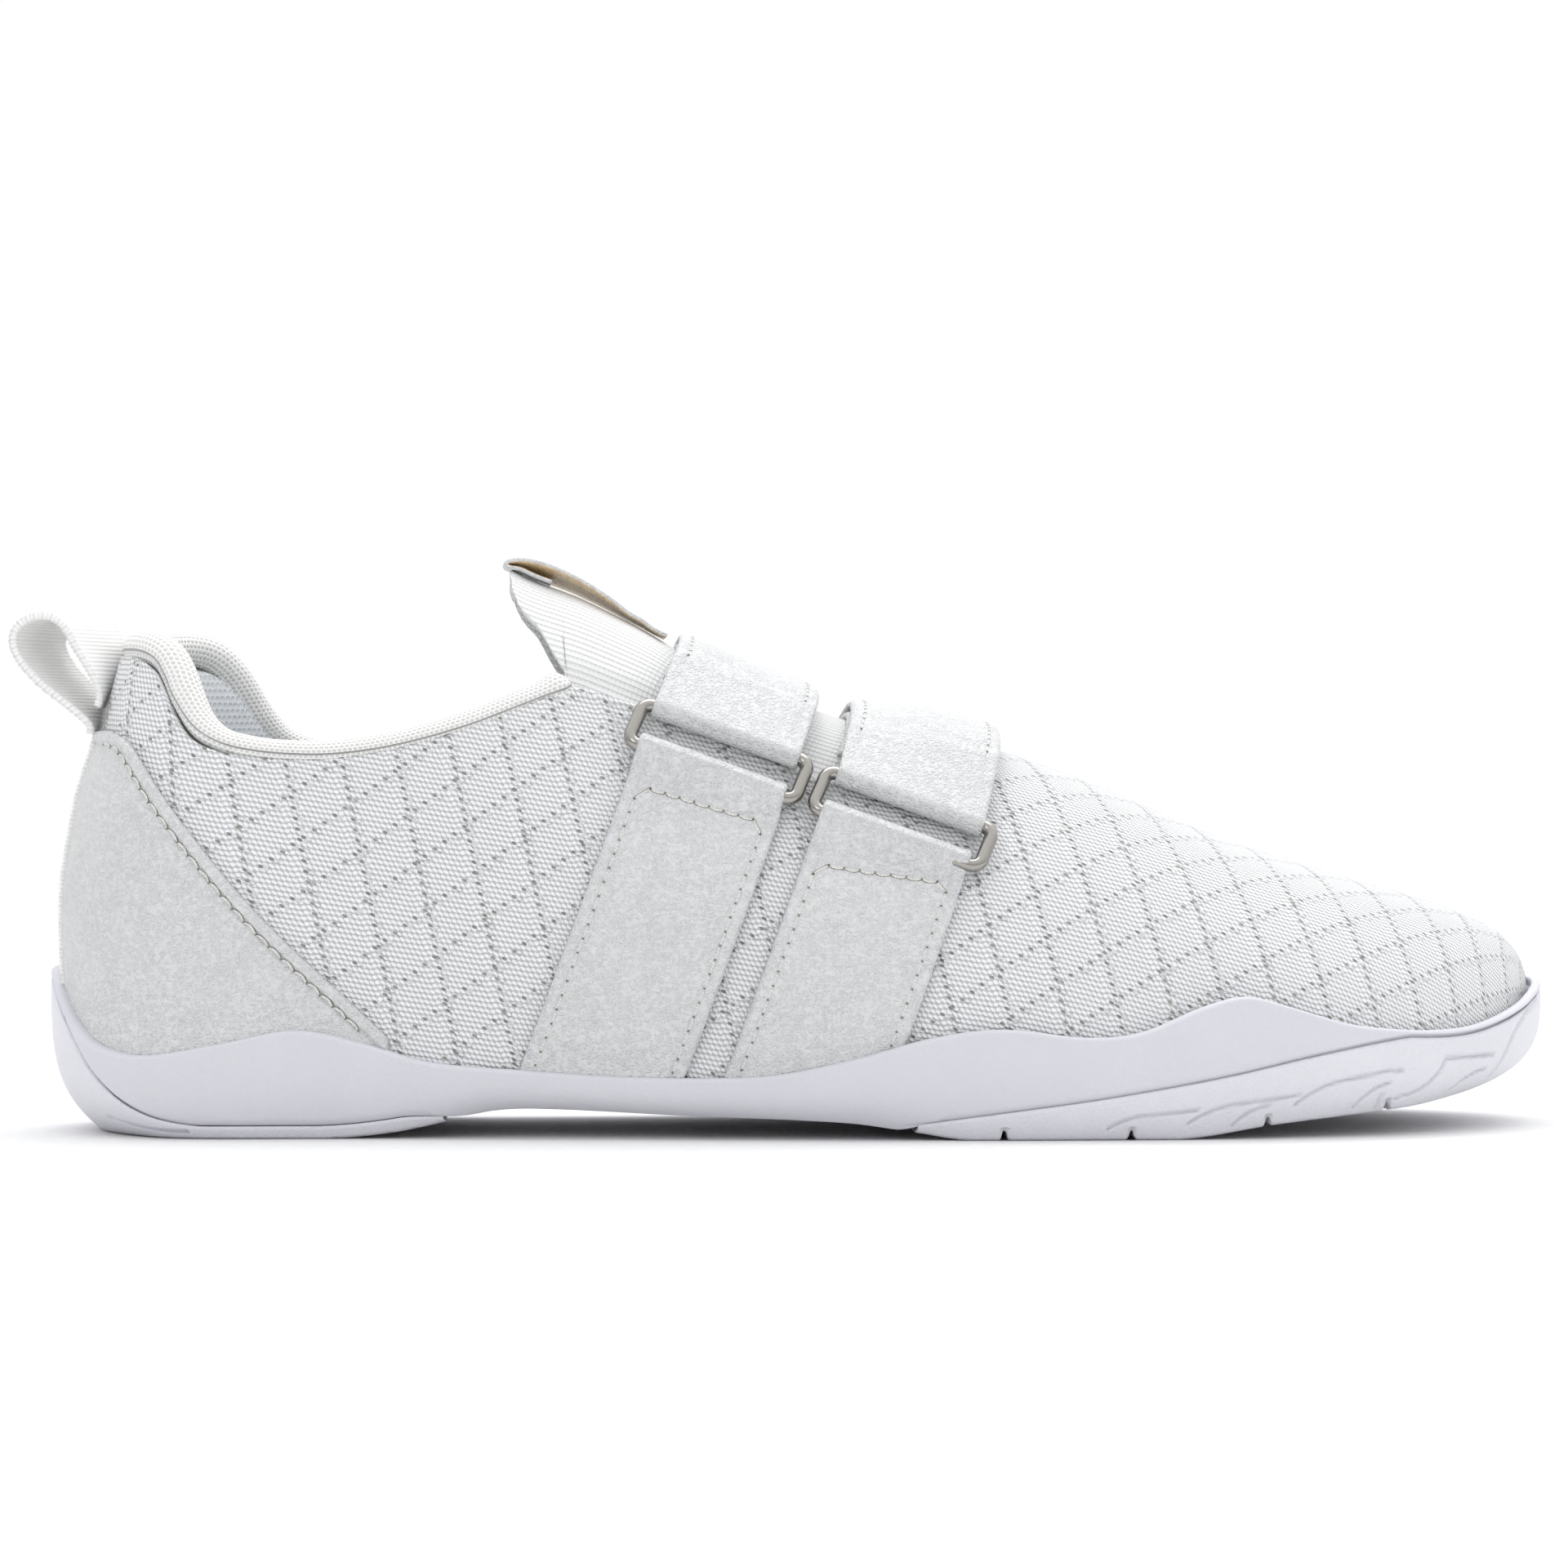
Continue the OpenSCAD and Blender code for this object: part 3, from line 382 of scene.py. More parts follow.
class Look:
    """A material: its shader, its coordinates in millimetres and short ways to feed it."""

    def __init__(self, name, colour, roughness=0.6, **sockets):
        self.material = bpy.data.materials.new(name)
        self.material.use_nodes = True
        self.tree = self.material.node_tree
        self.shader = self.tree.nodes["Principled BSDF"]
        self.shader.inputs["Base Color"].default_value = (*colour, 1)
        self.shader.inputs["Roughness"].default_value = roughness
        for key, v in sockets.items():
            self.shader.inputs[key.replace("_", " ").title()].default_value = v
        place = new_node(self.tree, "TexCoord", {})
        inputs = {0: place.outputs["Object"], "Scale": 1 / MM}
        self.place = new_node(self.tree, "VectorMath", inputs, operation="SCALE").outputs[0]

    def cloth(self):
        """Place on the cloth along and across its rows, in millimetres."""
        n = new_node(self.tree, "UVMap", {}, uv_map="cloth")
        split = new_node(self.tree, "SeparateXYZ", {0: n.outputs["UV"]})
        return Value(self.tree, split.outputs["X"]), Value(self.tree, split.outputs["Y"])

    def stretched(self, x, y, z):
        inputs = {0: self.place, 1: (x, y, z)}
        return new_node(self.tree, "VectorMath", inputs, operation="MULTIPLY").outputs[0]

    def noise(self, size, detail=2.0, distortion=0.0, place=None):
        """Soft random spots of a size in millimetres, from 0 to 1."""
        inputs = {"Scale": 1 / size, "Detail": detail, "Distortion": distortion,
                  "Vector": place or self.place}
        return Value(self.tree, new_node(self.tree, "TexNoise", inputs).outputs["Fac"])

    def cells(self, size, place=None):
        """Distance to the nearest edge between random cells of a size in millimetres."""
        inputs = {"Scale": 1 / size, "Vector": place or self.place}
        n = new_node(self.tree, "TexVoronoi", inputs, feature="DISTANCE_TO_EDGE")
        return Value(self.tree, n.outputs["Distance"])

    def feed(self, socket, shader_input):
        self.tree.links.new(socket, self.shader.inputs[shader_input])
        return self

    def tint(self, k, low, high):
        """Base colour from low at k 0 to high at k 1."""
        inputs = {"Factor": k.socket, "A": (*low, 1), "B": (*high, 1)}
        n = new_node(self.tree, "Mix", inputs, data_type="RGBA")
        return self.feed(n.outputs["Result"], "Base Color")

    def rough(self, value):
        return self.feed(value.socket, "Roughness")

    def bump(self, height):
        """Relief from a height in millimetres."""
        n = new_node(self.tree, "Bump", {"Distance": MM, "Strength": 1.0, "Height": height.socket})
        return self.feed(n.outputs["Normal"], "Normal")


# ---- materials

ROW, STITCH = 0.92, 0.95            # the knit's row height and stitch width
ROW_FALL = 0.15                     # how much a row falls towards the toe
COLUMN_STEP, COLUMN_EYELET, COLUMN_LEAN = 9.7, 1.84, 0.2
DIAGONAL_STEP, DIAGONAL_RISE, DIAGONAL_EYELET = 9.4, 0.76, 1.72
SLANT_X, SLANT_Z = 0.9, 0.44        # direction of one stitch: down towards the toe


def bead(x, z, long, wide):
    """1 in the middle of a slanting oval, 0 on its edge and less outside it."""
    a = (x * SLANT_X - z * SLANT_Z) * (1 / long)
    b = (x * SLANT_Z + z * SLANT_X) * (1 / wide)
    return 1 - (a * a + b * b)


def eyelets(x, z, dx, dz, long, wide):
    """How near the closest eyelet is, or the place (dx, dz) beside it, as the best bead."""
    x, z = x - dx, z - dz
    column = bead(away(x + z * COLUMN_LEAN, COLUMN_STEP), away(z, COLUMN_EYELET), long, wide)
    along = away(x, DIAGONAL_EYELET)
    rise = away(z - (x - along) * DIAGONAL_RISE, DIAGONAL_STEP)
    return column.op("MAXIMUM", bead(along, rise, long, wide))


def knit_look():
    look = Look("white_knit", (0.8, 0.8, 0.78), 0.85, sheen_weight=0.1, sheen_roughness=0.5)
    u, v = look.cloth()
    wave = look.noise(2.4, 2) - 0.5
    z = v * -1 - u * ROW_FALL
    kink = away(u + z * COLUMN_LEAN + 0.7, COLUMN_STEP)
    kink = (1 - fade(kink * kink, 0.0, 1.6)) * 0.3
    x = u + wave * 0.35
    down = v + wave * 0.22 + kink
    first = bead(away(x, STITCH), away(down, ROW * 2) * -1, 0.56, 0.36)
    second = bead(away(x + STITCH / 2, STITCH), away(down + ROW, ROW * 2) * -1, 0.56, 0.36)
    stitch = first.op("MAXIMUM", second)
    # each eyelet is a dent in the relief and a spot of painted shade in the colour
    eyelet_dip_and_shade = fade(eyelets(u, z, 0.0, 0.0, 0.55, 0.3), 0.0, 0.8)
    # painted highlight: the raised loop beside each eyelet is lighter in colour as well as raised
    raised_loop_highlight = fade(eyelets(u, z, 0.75, -0.2, 0.8, 0.5), 0.0, 0.9)
    body = fade(stitch, -0.9, 0.9)
    fibre = look.noise(0.16, 2)
    # painted shade: the colour darkens in the gaps between stitches
    gap_shade = fade(stitch, -0.95, 0.25)
    shade = (gap_shade * 0.6 + 0.4).op("MINIMUM", 1 - eyelet_dip_and_shade) + raised_loop_highlight * 0.25
    # the low colour is the painted shade of the stitch gaps and eyelets
    look.tint(shade + fibre * 0.16 - 0.08, (0.33, 0.32, 0.29), (0.9, 0.91, 0.925))
    return look.bump(body * 0.34 + fibre * 0.06 + raised_loop_highlight * 0.34 - eyelet_dip_and_shade * 0.34).material


def leather_look(name="white_leather", colour=(0.745, 0.75, 0.755), dark=(0.655, 0.66, 0.665)):
    look = Look(name, colour, 0.42, coat_weight=0.08, coat_roughness=0.3)
    warp = look.noise(4, 2)
    grain = fade(look.cells(0.85, place=look.stretched(1, 1, 1.3)), 0.0, 0.4)
    fold = look.noise(3.4, 4, 1.4, look.stretched(0.6, 1, 1.5)) - 0.5
    crease = fade(fold * fold, 0.0, 0.0006)
    patch = fade(look.noise(9, 3), 0.35, 0.7)
    look.tint(warp * 0.5 + look.noise(30, 2) * 0.5, dark, colour)
    look.rough(look.noise(1.2, 3) * 0.2 + 0.3)
    relief = grain * 0.2 + look.noise(0.35, 3) * 0.14 + crease * (patch * 0.035 + 0.015)
    return look.bump(relief + warp * 0.25).material


def sole_look(name, pebble):
    look = Look(name, (0.68, 0.68, 0.73), 0.5)
    grain = look.noise(0.3, 2)
    relief = grain * 0.1 + look.noise(4, 2) * 0.06
    # painted fill light: the tread's colour is made lighter than the midsole's to make up for the shade it
    # sits in below the sole's sides
    light = 0.0
    if pebble:
        relief = relief + fade(look.cells(0.8), 0.0, 0.4) * 0.05
        light = 0.07
    look.tint(look.noise(12, 2) * 0.6 + grain * 0.4, (0.645 + light, 0.64 + light, 0.69 + light),
              (0.705 + light, 0.7 + light, 0.755 + light))
    return look.bump(relief).material


def waves(x, step, y=None, row=1.0):
    """Waves of a length along x, from 0 to 1. With y, every other row of them is set off by a half."""
    turn = x * (2 * math.pi / step)
    if y is not None:
        turn = turn + (y * (1 / row)).op("FLOOR") * math.pi
    return turn.op("SINE") * 0.5 + 0.5


def woven_look(name, colour, dark, across, along, depth):
    """Cloth with fine ribs across its length, as ribbon and tape."""
    look = Look(name, colour, 0.75, sheen_weight=0.2, sheen_roughness=0.4)
    u, v = look.cloth()
    rib = waves(u, across)
    thread = waves(v, along, u, across)
    # painted shade: the colour darkens in the grooves between ribs and between threads, where the relief
    # dips
    shade = rib * 0.65 + thread * 0.35
    look.tint(fade(shade, 0.0, 0.8), dark, colour)
    return look.bump(shade * depth + look.noise(0.2, 2) * 0.03).material


def honeycomb_look(name, colour, dark, cell, depth):
    """Fine mesh knit of small cells in staggered rows."""
    look = Look(name, colour, 0.85, sheen_weight=0.2, sheen_roughness=0.5)
    u, v = look.cloth()
    row = v * (1 / cell)
    x = away(u + row.op("FLOOR") * (cell / 2), cell)
    y = (frac(row) - 0.5) * cell
    pit_and_shade = 1 - fade((x * x + y * y).op("SQRT"), cell * 0.14, cell * 0.46)
    # painted shade: each pit is darker in colour as well as sunk
    look.tint(pit_and_shade + look.noise(3, 2) * 0.1, colour, dark)
    return look.bump(pit_and_shade * -depth + look.noise(0.2, 2) * 0.04).material


def ribbed_look():
    look = Look("ribbed_cloth", (0.84, 0.84, 0.83), 0.85, sheen_weight=0.2, sheen_roughness=0.5)
    u, v = look.cloth()
    bead = waves(u, 0.8, v, RIB)
    rib = fade(waves(v, RIB), 0.0, 0.6)
    shade = rib * 0.7 + bead * 0.3
    # painted shade: the colour darkens in the grooves between ribs and beads
    look.tint(fade(shade, 0.0, 0.85), (0.74, 0.74, 0.73), (0.89, 0.89, 0.89))
    return look.bump(rib * 0.16 + bead * 0.1 + look.noise(0.2, 2) * 0.05).material


def metal_look():
    # painted reflection: the nickel's base colour is kept dark to stand in for dark surroundings, which the
    # bright studio lacks
    look = Look("polished_nickel", (0.37, 0.355, 0.33), 0.14, metallic=1.0)
    look.rough(look.noise(1.5, 3) * 0.14 + 0.1)
    return look.bump(look.noise(0.5, 2) * 0.01).material


def plain_look(name, colour, roughness, size, depth):
    look = Look(name, colour, roughness)
    spots = look.noise(size, 3)
    look.tint(spots, tuple(c * 0.88 for c in colour), colour)
    return look.bump(spots * depth).material


RIB = 1.25                          # the tongue's ribs
KNIT_MAT = knit_look()
LEATHER = leather_look()
TAN = leather_look("tan_lining", (0.86, 0.71, 0.5), (0.78, 0.62, 0.4))
MIDSOLE = sole_look("midsole_foam", False)
TREAD_MAT = sole_look("tread_rubber", True)
RIBBON = woven_look("white_ribbon", (0.95, 0.95, 0.94), (0.8, 0.8, 0.78), 0.75, 0.55, 0.12)
ROLL = honeycomb_look("collar_knit", (0.93, 0.93, 0.92), (0.72, 0.71, 0.68), 0.9, 0.2)
LINING = honeycomb_look("lining_mesh", (0.95, 0.965, 0.98), (0.82, 0.87, 0.91), 1.2, 0.2)
INSOLE = woven_look("insole_cloth", (0.8, 0.82, 0.83), (0.66, 0.69, 0.72), 0.7, 0.7, 0.08)
RIBBED = ribbed_look()
NICKEL = metal_look()
THREAD = woven_look("thread", (0.82, 0.82, 0.8), (0.6, 0.59, 0.56), 0.5, 0.5, 0.06)
# dark colour for the needle holes and the strands beside the threads: painted shade and shadow
PAINTED_STITCH_SHADE = plain_look("stitch_hole_painted_shade", (0.26, 0.24, 0.2), 0.9, 0.4, 0.02)
FLUFF = plain_look("knit_edge_yarn", (0.86, 0.86, 0.86), 0.9, 0.5, 0.3)
BOARD = plain_look("board", (0.72, 0.67, 0.58), 0.9, 0.8, 0.05)
PADDING = plain_look("padding_foam", (0.85, 0.83, 0.74), 0.95, 0.6, 0.12)
TAPE = plain_look("hook_and_loop", (0.8, 0.8, 0.8), 0.95, 0.35, 0.25)


# ---- stitches

def bilinear(grid, a, b):
    """A grid of points or directions, read at fractional row a and column b."""
    a, b = np.clip(a, 0, grid.shape[0] - 1.001), np.clip(b, 0, grid.shape[1] - 1.001)
    i, j = a.astype(int), b.astype(int)
    p, q = (a - i)[:, None], (b - j)[:, None]
    return ((1 - p) * (1 - q) * grid[i, j] + p * (1 - q) * grid[i + 1, j]
            + (1 - p) * q * grid[i, j + 1] + p * q * grid[i + 1, j + 1])


THREAD_RADIUS, THREAD_LIFT, STITCH_GAP, HOLE_RADIUS = 0.24, 0.16, 0.2, 0.21


class Seams:
    """Rows of stitches on one piece: the threads in one mesh, and in another the needle holes as dark plugs
    of painted shade with a thin strand of painted shadow beside each thread.
    """

    def __init__(self, name, body):
        self.name, self.body = name, body
        self.threads, self.shades, self.holes = [], [], []

    def run(self, points, normals, pitch, sag=0.0):
        """Stitches along points. sag bows each one sideways, in millimetres."""
        d = lengths(points)
        at = np.linspace(0, d[-1], max(int(round(d[-1] / pitch)), 1) + 1)

        def read(grid, s):
            return np.stack([np.interp(s, d, grid[:, i]) for i in range(3)], -1)

        k = steps(7)
        arch = np.sin(k * math.pi)[:, None]
        swell = THREAD_RADIUS * (0.55 + 0.45 * np.sin(k * math.pi) ** 0.5)
        for a, b in zip(at[:-1], at[1:]):
            here = mix(a + STITCH_GAP, b - STITCH_GAP * 0.6, k)
            p, n = read(points, here), unit(read(normals, here))
            side = unit(np.cross(unit(np.gradient(p, axis=0)), n))
            path = p + n * (THREAD_LIFT * arch - 0.12) + side * sag * arch
            self.threads.append(tube(path, swell, 7, n.mean(0)))
            # a thin dark strand beside each thread: a painted shadow
            below = p - n * 0.02 + side * (sag * arch + (0.24 if sag >= 0 else -0.24))
            self.shades.append(tube(below, 0.06, 5, n.mean(0)))
        # each needle hole is a short dark plug: painted shade standing in for the hole's dark inside
        for p, n in zip(read(points, at), unit(read(normals, at))):
            side = unit(np.cross(n, [0.3, 0.1, 0.9]))
            a = around(8)
            rim = p + n * 0.03 + HOLE_RADIUS * (side * np.cos(a) + np.cross(n, side) * np.sin(a))
            self.holes.append((np.concatenate([rim, rim - n * 0.25]), tube_faces(2, 8)))
        return self

    def make(self):
        points, faces = join(self.threads)
        uv = points @ np.array([[1.0, 0.2], [0.3, 0.3], [0.6, 1.0]])
        new_object(self.name + "_thread", points, faces, self.body, THREAD, uv)
        points, faces = join(self.shades + self.holes)
        new_object(self.name + "_holes", points, faces, self.body, PAINTED_STITCH_SHADE)


# ---- knit upper

def roll_high(x, outer):
    return mix(3.1, 2.25, smooth((x - np.where(outer, 14, 26)) / 16))


def collar_z(x, outer):
    return np.where(outer, collar_out(x), collar_in(x))


def collar_point(x, outer, t):
    return last(x, side_angle(angle_at(x, collar_z(x, outer), t), outer), t)


def binding_drop(x, outer):
    x = np.minimum(x, THROAT_BACK - 1)
    d = collar_point(x + 0.4, outer, 0.0) - collar_point(np.maximum(x - 0.4, X_HEEL), outer, 0.0)
    slope = np.linalg.norm(d, axis=-1) / np.linalg.norm(d[..., :2], axis=-1)
    return 0.5 * roll_high(x, outer) * slope


def knit_edge(x, outer):
    front = throat_line(x) - binding_drop(np.full_like(x, THROAT_BACK), outer) * (
        1 - smooth((x - THROAT_BACK) / 2))
    return np.where(x < THROAT_BACK, collar_z(x, outer) - binding_drop(x, outer), front)


def knit_rows(x):
    """The girth distance, from the base, of the row that runs over the top of the vamp."""
    def girth(at):
        return lengths(last(at[:, None], np.linspace(0, 90, 60)[None], 0), 1)[:, -1]

    front = girth(np.maximum(x, THROAT_FRONT))
    behind = np.maximum(THROAT_FRONT - x, 0)
    edge = girth(np.array([THROAT_FRONT, THROAT_FRONT + 1.0]))
    steep = edge[0] - edge[1]
    return front + behind * ROW_FALL + (steep - ROW_FALL) * 12 * (1 - np.exp(-behind / 12))


def knit_half(outer, name, replaces):
    m, n = 631, 127
    x = even_stations(X_HEEL + END_GAP, X_TOE - END_GAP, m, th=30.0)[:, None]
    k = steps(n)[None]
    edge = np.where(x >= THROAT_FRONT, 89.95, np.minimum(angle_at(x, knit_edge(x, outer)), 89.95))
    base = np.minimum(angle_at(x, rim_line(x) - 4), edge - 2)
    th = side_angle(mix(base, edge, k), outer)
    p = last(x, th, 0)
    low = last(x, side_angle(mix(0, base, steps(12)[None]), outer), 0)
    girth = lengths(p, 1) + lengths(low, 1)[:, -1:]
    v = knit_rows(x[:, 0])[:, None] - girth
    start = int(np.searchsorted(x[:, 0], THROAT_FRONT))
    run = np.linalg.norm(np.diff(p[..., :2], axis=0), axis=-1)
    level = last(x, np.full_like(x, 35.0), 0)[:, 0, :2]
    plain = np.linalg.norm(np.diff(level, axis=0), axis=-1)[:, None]
    run = mix(plain, run, fade(x[1:], THROAT_FRONT + 2, THROAT_FRONT + 60))
    u = np.insert(np.cumsum(run, 0), 0, 0.0, 0)
    u -= u[start]
    z = -v - u * ROW_FALL
    normal = grid_normals(p) * (1 if outer else -1)
    ease = fade(k, 0.0, 0.02) * np.minimum(1, fade(1 - k, 0.0, 0.012) + (x > THROAT_FRONT))
    ends = fade(x - X_HEEL, 0.0, 1.0) * fade(X_TOE - x, 0.0, 0.6)
    column = away(u + z * COLUMN_LEAN - 0.9, COLUMN_STEP)
    diagonal = away(z - u * DIAGONAL_RISE + 0.5, DIAGONAL_STEP)
    front = 1 - 0.7 * fade(x, THROAT_FRONT - 10, THROAT_FRONT + 30)
    relief = 0.07 * front * (bell(column, 0.8) - bell(column + 1.4, 0.7))
    relief = relief + 0.08 * bell(diagonal, 0.7)
    from_edge = girth[:, -1:] - girth
    open_part = fade(x - THROAT_BACK, -2.0, 2.0) * fade(THROAT_FRONT - x, 1.0, 8.0)
    hem = 0.4 * bell(from_edge - 0.8, 0.5) * open_part
    skin = p + normal * ((relief - 0.13) * ease * ends + hem)[..., None]
    inner = last(x, th, -KNIT)
    uv = np.stack([u, v], -1)
    if not outer:
        skin, inner, uv = skin[:, ::-1], inner[:, ::-1], uv[:, ::-1]
    points, faces, uv = shell(skin, inner, uv, 3)
    return new_object(name, points, faces, "shoe", KNIT_MAT, uv, replaces)


def make_upper():
    knit_half(True, "knit_upper_outer_side", ("knit_upper",))
    knit_half(False, "knit_upper_inner_side", ())


def heel_stations(x_end, count):
    return mix(X_HEEL + 0.15, x_end, 1 - np.cos(np.linspace(0, math.pi / 2, count)))


def round_heel(xs):
    """Stations round the heel, from the inner side to the outer one, with the side as a flag."""
    x = np.r_[xs[::-1], xs]
    return x, np.r_[np.zeros(len(xs), bool), np.ones(len(xs), bool)]


def make_collar():
    """The padded roll round the ankle opening."""
    x, outer = round_heel(heel_stations(THROAT_BACK, 150))
    centre = collar_point(x, outer, -2.9)
    d = lengths(centre)
    run = unit(np.gradient(centre, axis=0))
    out = unit(np.stack([run[:, 1], -run[:, 0], np.zeros(len(run))], -1))
    up = np.cross(out, run)
    up *= np.sign(up[:, 2:])
    sides = 40
    a = around(sides)
    high = roll_high(x, outer)[:, None, None]
    pucker = 1 + 0.012 * np.sin(d / 1.7 + np.sin(d / 5.3) * 2)
    to_end = np.minimum(d, d[-1] - d)
    lump = 0.28 * bell(to_end - 2.6, 1.8)
    pucker = ((pucker + lump) * (1 - (1 - np.clip(to_end / 2.2, 0, 1)) ** 2 * 0.8))[:, None, None]
    ring = out[:, None] * 3.1 * np.cos(a) + up[:, None] * high * np.sin(a)
    points = (centre[:, None] + ring * pucker).reshape(-1, 3)
    uv = grid_uv(d[:, None], a[:, 0] * 2.9).reshape(-1, 2)
    roll = new_object("collar_roll", points, tube_faces(len(d), sides), "shoe", ROLL, uv,
                      ("collar_binding",))


def make_lining():
    """Mesh lining of the heel, up into the collar."""
    x, outer = round_heel(heel_stations(90, 70))
    top = collar_z(x, outer) - binding_drop(x, outer) + 1.2
    x, outer = x[:, None], outer[:, None]
    k = steps(44)[None]
    z = mix(10.5, top[:, None], k)
    th = side_angle(angle_at(x, z), outer)
    deep = Curve((10, -4.2), (40, -4.3), (60, -6.0), (80, -6.2), (90, -4.6))(z) - 0.3 * np.sin(k * math.pi)
    back = last(x, th, Curve((10, -3.4), (40, -3.6), (60, -5.2), (80, -5.4), (90, -4.0))(z))
    face = last(x, th, deep)
    points, faces, uv = shell(back, face, grid_uv(lengths(face[:, 22])[:, None], z))
    lining = new_object("heel_lining_mesh", points, faces, "shoe", LINING, uv,
                        ("heel_lining",))


def dress_hidden_nodes():
    """Materials for the pieces whose shape comes from the CAD."""
    looks = ((BOARD, ("toe_puff", "heel_counter", "lasting_board")), (PADDING, ("collar_foam",)),
             (TAPE, ("rear_hook_tape", "front_hook_tape", "rear_loop_tape", "front_loop_tape")),
             (NICKEL, ("rear_ring", "front_ring")))
    for material, nodes in looks:
        for node in nodes:
            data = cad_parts[node].data
            data.materials.clear()
            data.materials.append(material)


def make_insole():
    x = even_stations(X_HEEL + 0.3, X_TOE - 0.3, 200, z=12)
    k = steps(41)[None]

    def layer(lift, crown):
        z = floor_line(x) + lift
        left, right = (np.stack(plan(x, o, -5.4 + cup_shift(x, z)), -1) for o in (True, False))
        xy = mix(left[:, None], right[:, None], k[..., None])
        xy[..., 0] += lean(x, z)[:, None]
        edge = (1 - (2 * k - 1) ** 8) * crown + (2 * k - 1) ** 4 * crown * 0.8
        return np.concatenate([xy, (z[:, None] + edge)[..., None]], -1)

    top, under = layer(3.4, 1.0), layer(1.35, 0.0)
    points, faces, uv = shell(top, under, top[..., :2])
    sole = new_object("insole_pad", points, faces, "shoe", INSOLE, uv, ("insole",))


# ---- sole

def tread_top(x):
    rim = rim_line(x) - 1.2
    waist = sole_low(x) + 1
    return np.where(x < HEEL_TREAD_END, np.minimum(heel_tread_line(x), rim),
                    np.where(x > TOE_TREAD_START, np.minimum(toe_tread_line(x), rim), waist))


def tread_inset(x, d):
    heel, toe = 1 - smooth((x - 62) / 14), smooth((x - TOE_TREAD_START) / 9)
    return d * np.where(x < HEEL_TREAD_END, heel, toe)


def sole_grid(x, z, inset, outer):
    px, py = plan(x, outer, sole_side(x, z) - inset)
    return np.stack([px, py, z], -1)


def near_lines(x, z, lines):
    """Distance in the side view from points to the nearest of several polylines."""
    best = np.full(np.broadcast(x, z).shape, 99.0)
    for line in lines:
        for (ax, az), (bx, bz) in zip(line[:-1], line[1:]):
            d = np.array([bx - ax, bz - az])
            k = np.clip(((x - ax) * d[0] + (z - az) * d[1]) / (d @ d), 0, 1)
            best = np.minimum(best, np.hypot(x - ax - k * d[0], z - az - k * d[1]))
    return best


def bow(a, b, rise, count=9):
    """Arc from a to b that stands off their chord by rise."""
    a, b = np.array(a, float), np.array(b, float)
    k = steps(count)[:, None]
    off = np.array([-(b - a)[1], (b - a)[0]]) / np.linalg.norm(b - a)
    return (a + (b - a) * k + off * rise * 4 * k * (1 - k)).tolist()


# Grooves on the forefoot tread's wall, seen from the side
TOE_GROOVES = [bow((219, 6), (227.5, 10.2), 0.8) + [(235, 11.6), (237.6, 11.6)],
               bow((235.6, 9.4), (230.5, 5.4), -0.8), [(234.8, 7.3), (235.2, 5.2)],
               bow((238.4, 6.8), (246.2, 13.4), -1.6) + [(256.5, 13.6)],
               bow((255.4, 11), (249.5, 6.9), -1.0),
               bow((267.6, 22.4), (258.6, 9.6), -2.2),
               bow((200, 3), (210, 6.4), 0.8) + [(219, 7.6)],
               bow((214, 5.8), (208.5, 2.6), -0.7),
               bow((186, 2.2), (193, 4.4), 0.6) + [(201, 5.2)]]
HEEL_GROOVES = [bow((4.2, 22), (16.5, 5.2), -2.0), bow((10, 3.4), (24, 1.4), -0.6)]
SLITS = (167, 189, 213, 235)


def tread_relief(x, z, grooves):
    d = near_lines(x, z, grooves)
    return -0.8 * (1 - smooth((d - 0.1) / 0.35))


def make_midsole():
    m = 560
    x = even_stations(X_HEEL + END_GAP, X_TOE - END_GAP, m, z=18)[:, None]
    low = sole_low(x) + tread_inset(x, TREAD + 0.05)
    base = np.maximum(tread_top(x), low + 0.05)
    rim = rim_line(x)

    def ledge(outer, t, z, shift):
        px, py = plan(x, outer, t)
        return np.stack([px + shift, py, z], -1)

    def half(outer):
        side = sole_grid(x, mix(low, base, steps(6)[None]), tread_inset(x, 0.85), outer)
        k = steps(26)[None]
        z = mix(base + 0.12, rim - 0.75, k)
        groove = 0.75 * (1 - fade(z - base, 0.1, 0.75))
        seam = np.where((x < HEEL_TREAD_END - 8) | (x > TOE_TREAD_START + 8), groove, 0.0)
        wall = sole_grid(x, z, seam, outer)
        a = np.linspace(0.12, math.pi / 2, 6)[None]
        z = rim - 0.75 + 0.75 * np.sin(a)
        over = ledge(outer, SOLE_OUT - 0.75 * (1 - np.cos(a)), z, lean(x, z) * 0.5 * np.sin(a))
        a = np.linspace(0.15, math.pi / 2, 4)[None]
        lip = ledge(outer, 0.75 - 0.5 * np.sin(a), rim - 0.5 * (1 - np.cos(a)), lean(x, rim) * 0.5)
        k = np.linspace(0.95, 0, 5)[None]
        z = mix(floor_line(x) - 0.15, rim - 0.5, k)
        inside = ledge(outer, 0.25 + cup_shift(x, z), z, lean(x, z) * k * 0.5)
        return np.concatenate([side, wall, over, lip, inside], 1)

    out, inn = half(True), half(False)
    across = mix(out[:, -1:], inn[:, -1:], steps(9)[1:-1][None, :, None])
    under = mix(inn[:, :1], out[:, :1], steps(13)[1:-1][None, :, None])
    loop = np.concatenate([out, across, inn[:, ::-1], under], 1)
    n, wall = loop.shape[1], out.shape[1]
    left, right = np.arange(wall), wall + across.shape[1] + np.arange(wall)[::-1]
    strip = np.stack([left[1:-2], left[2:-1], right[2:-1], right[1:-2]], -1)
    floor_end = np.arange(left[-2], right[-2] + 1)[None]
    under_end = np.r_[np.arange(right[1], n), left[:2]][None]
    faces = tube_faces(m, n)[:1]
    for cap in (strip, floor_end, under_end):
        faces += [cap, cap[:, ::-1] + (m - 1) * n]
    new_object("midsole_cup", loop.reshape(-1, 3), faces, "shoe", MIDSOLE,
               replaces=("midsole",))


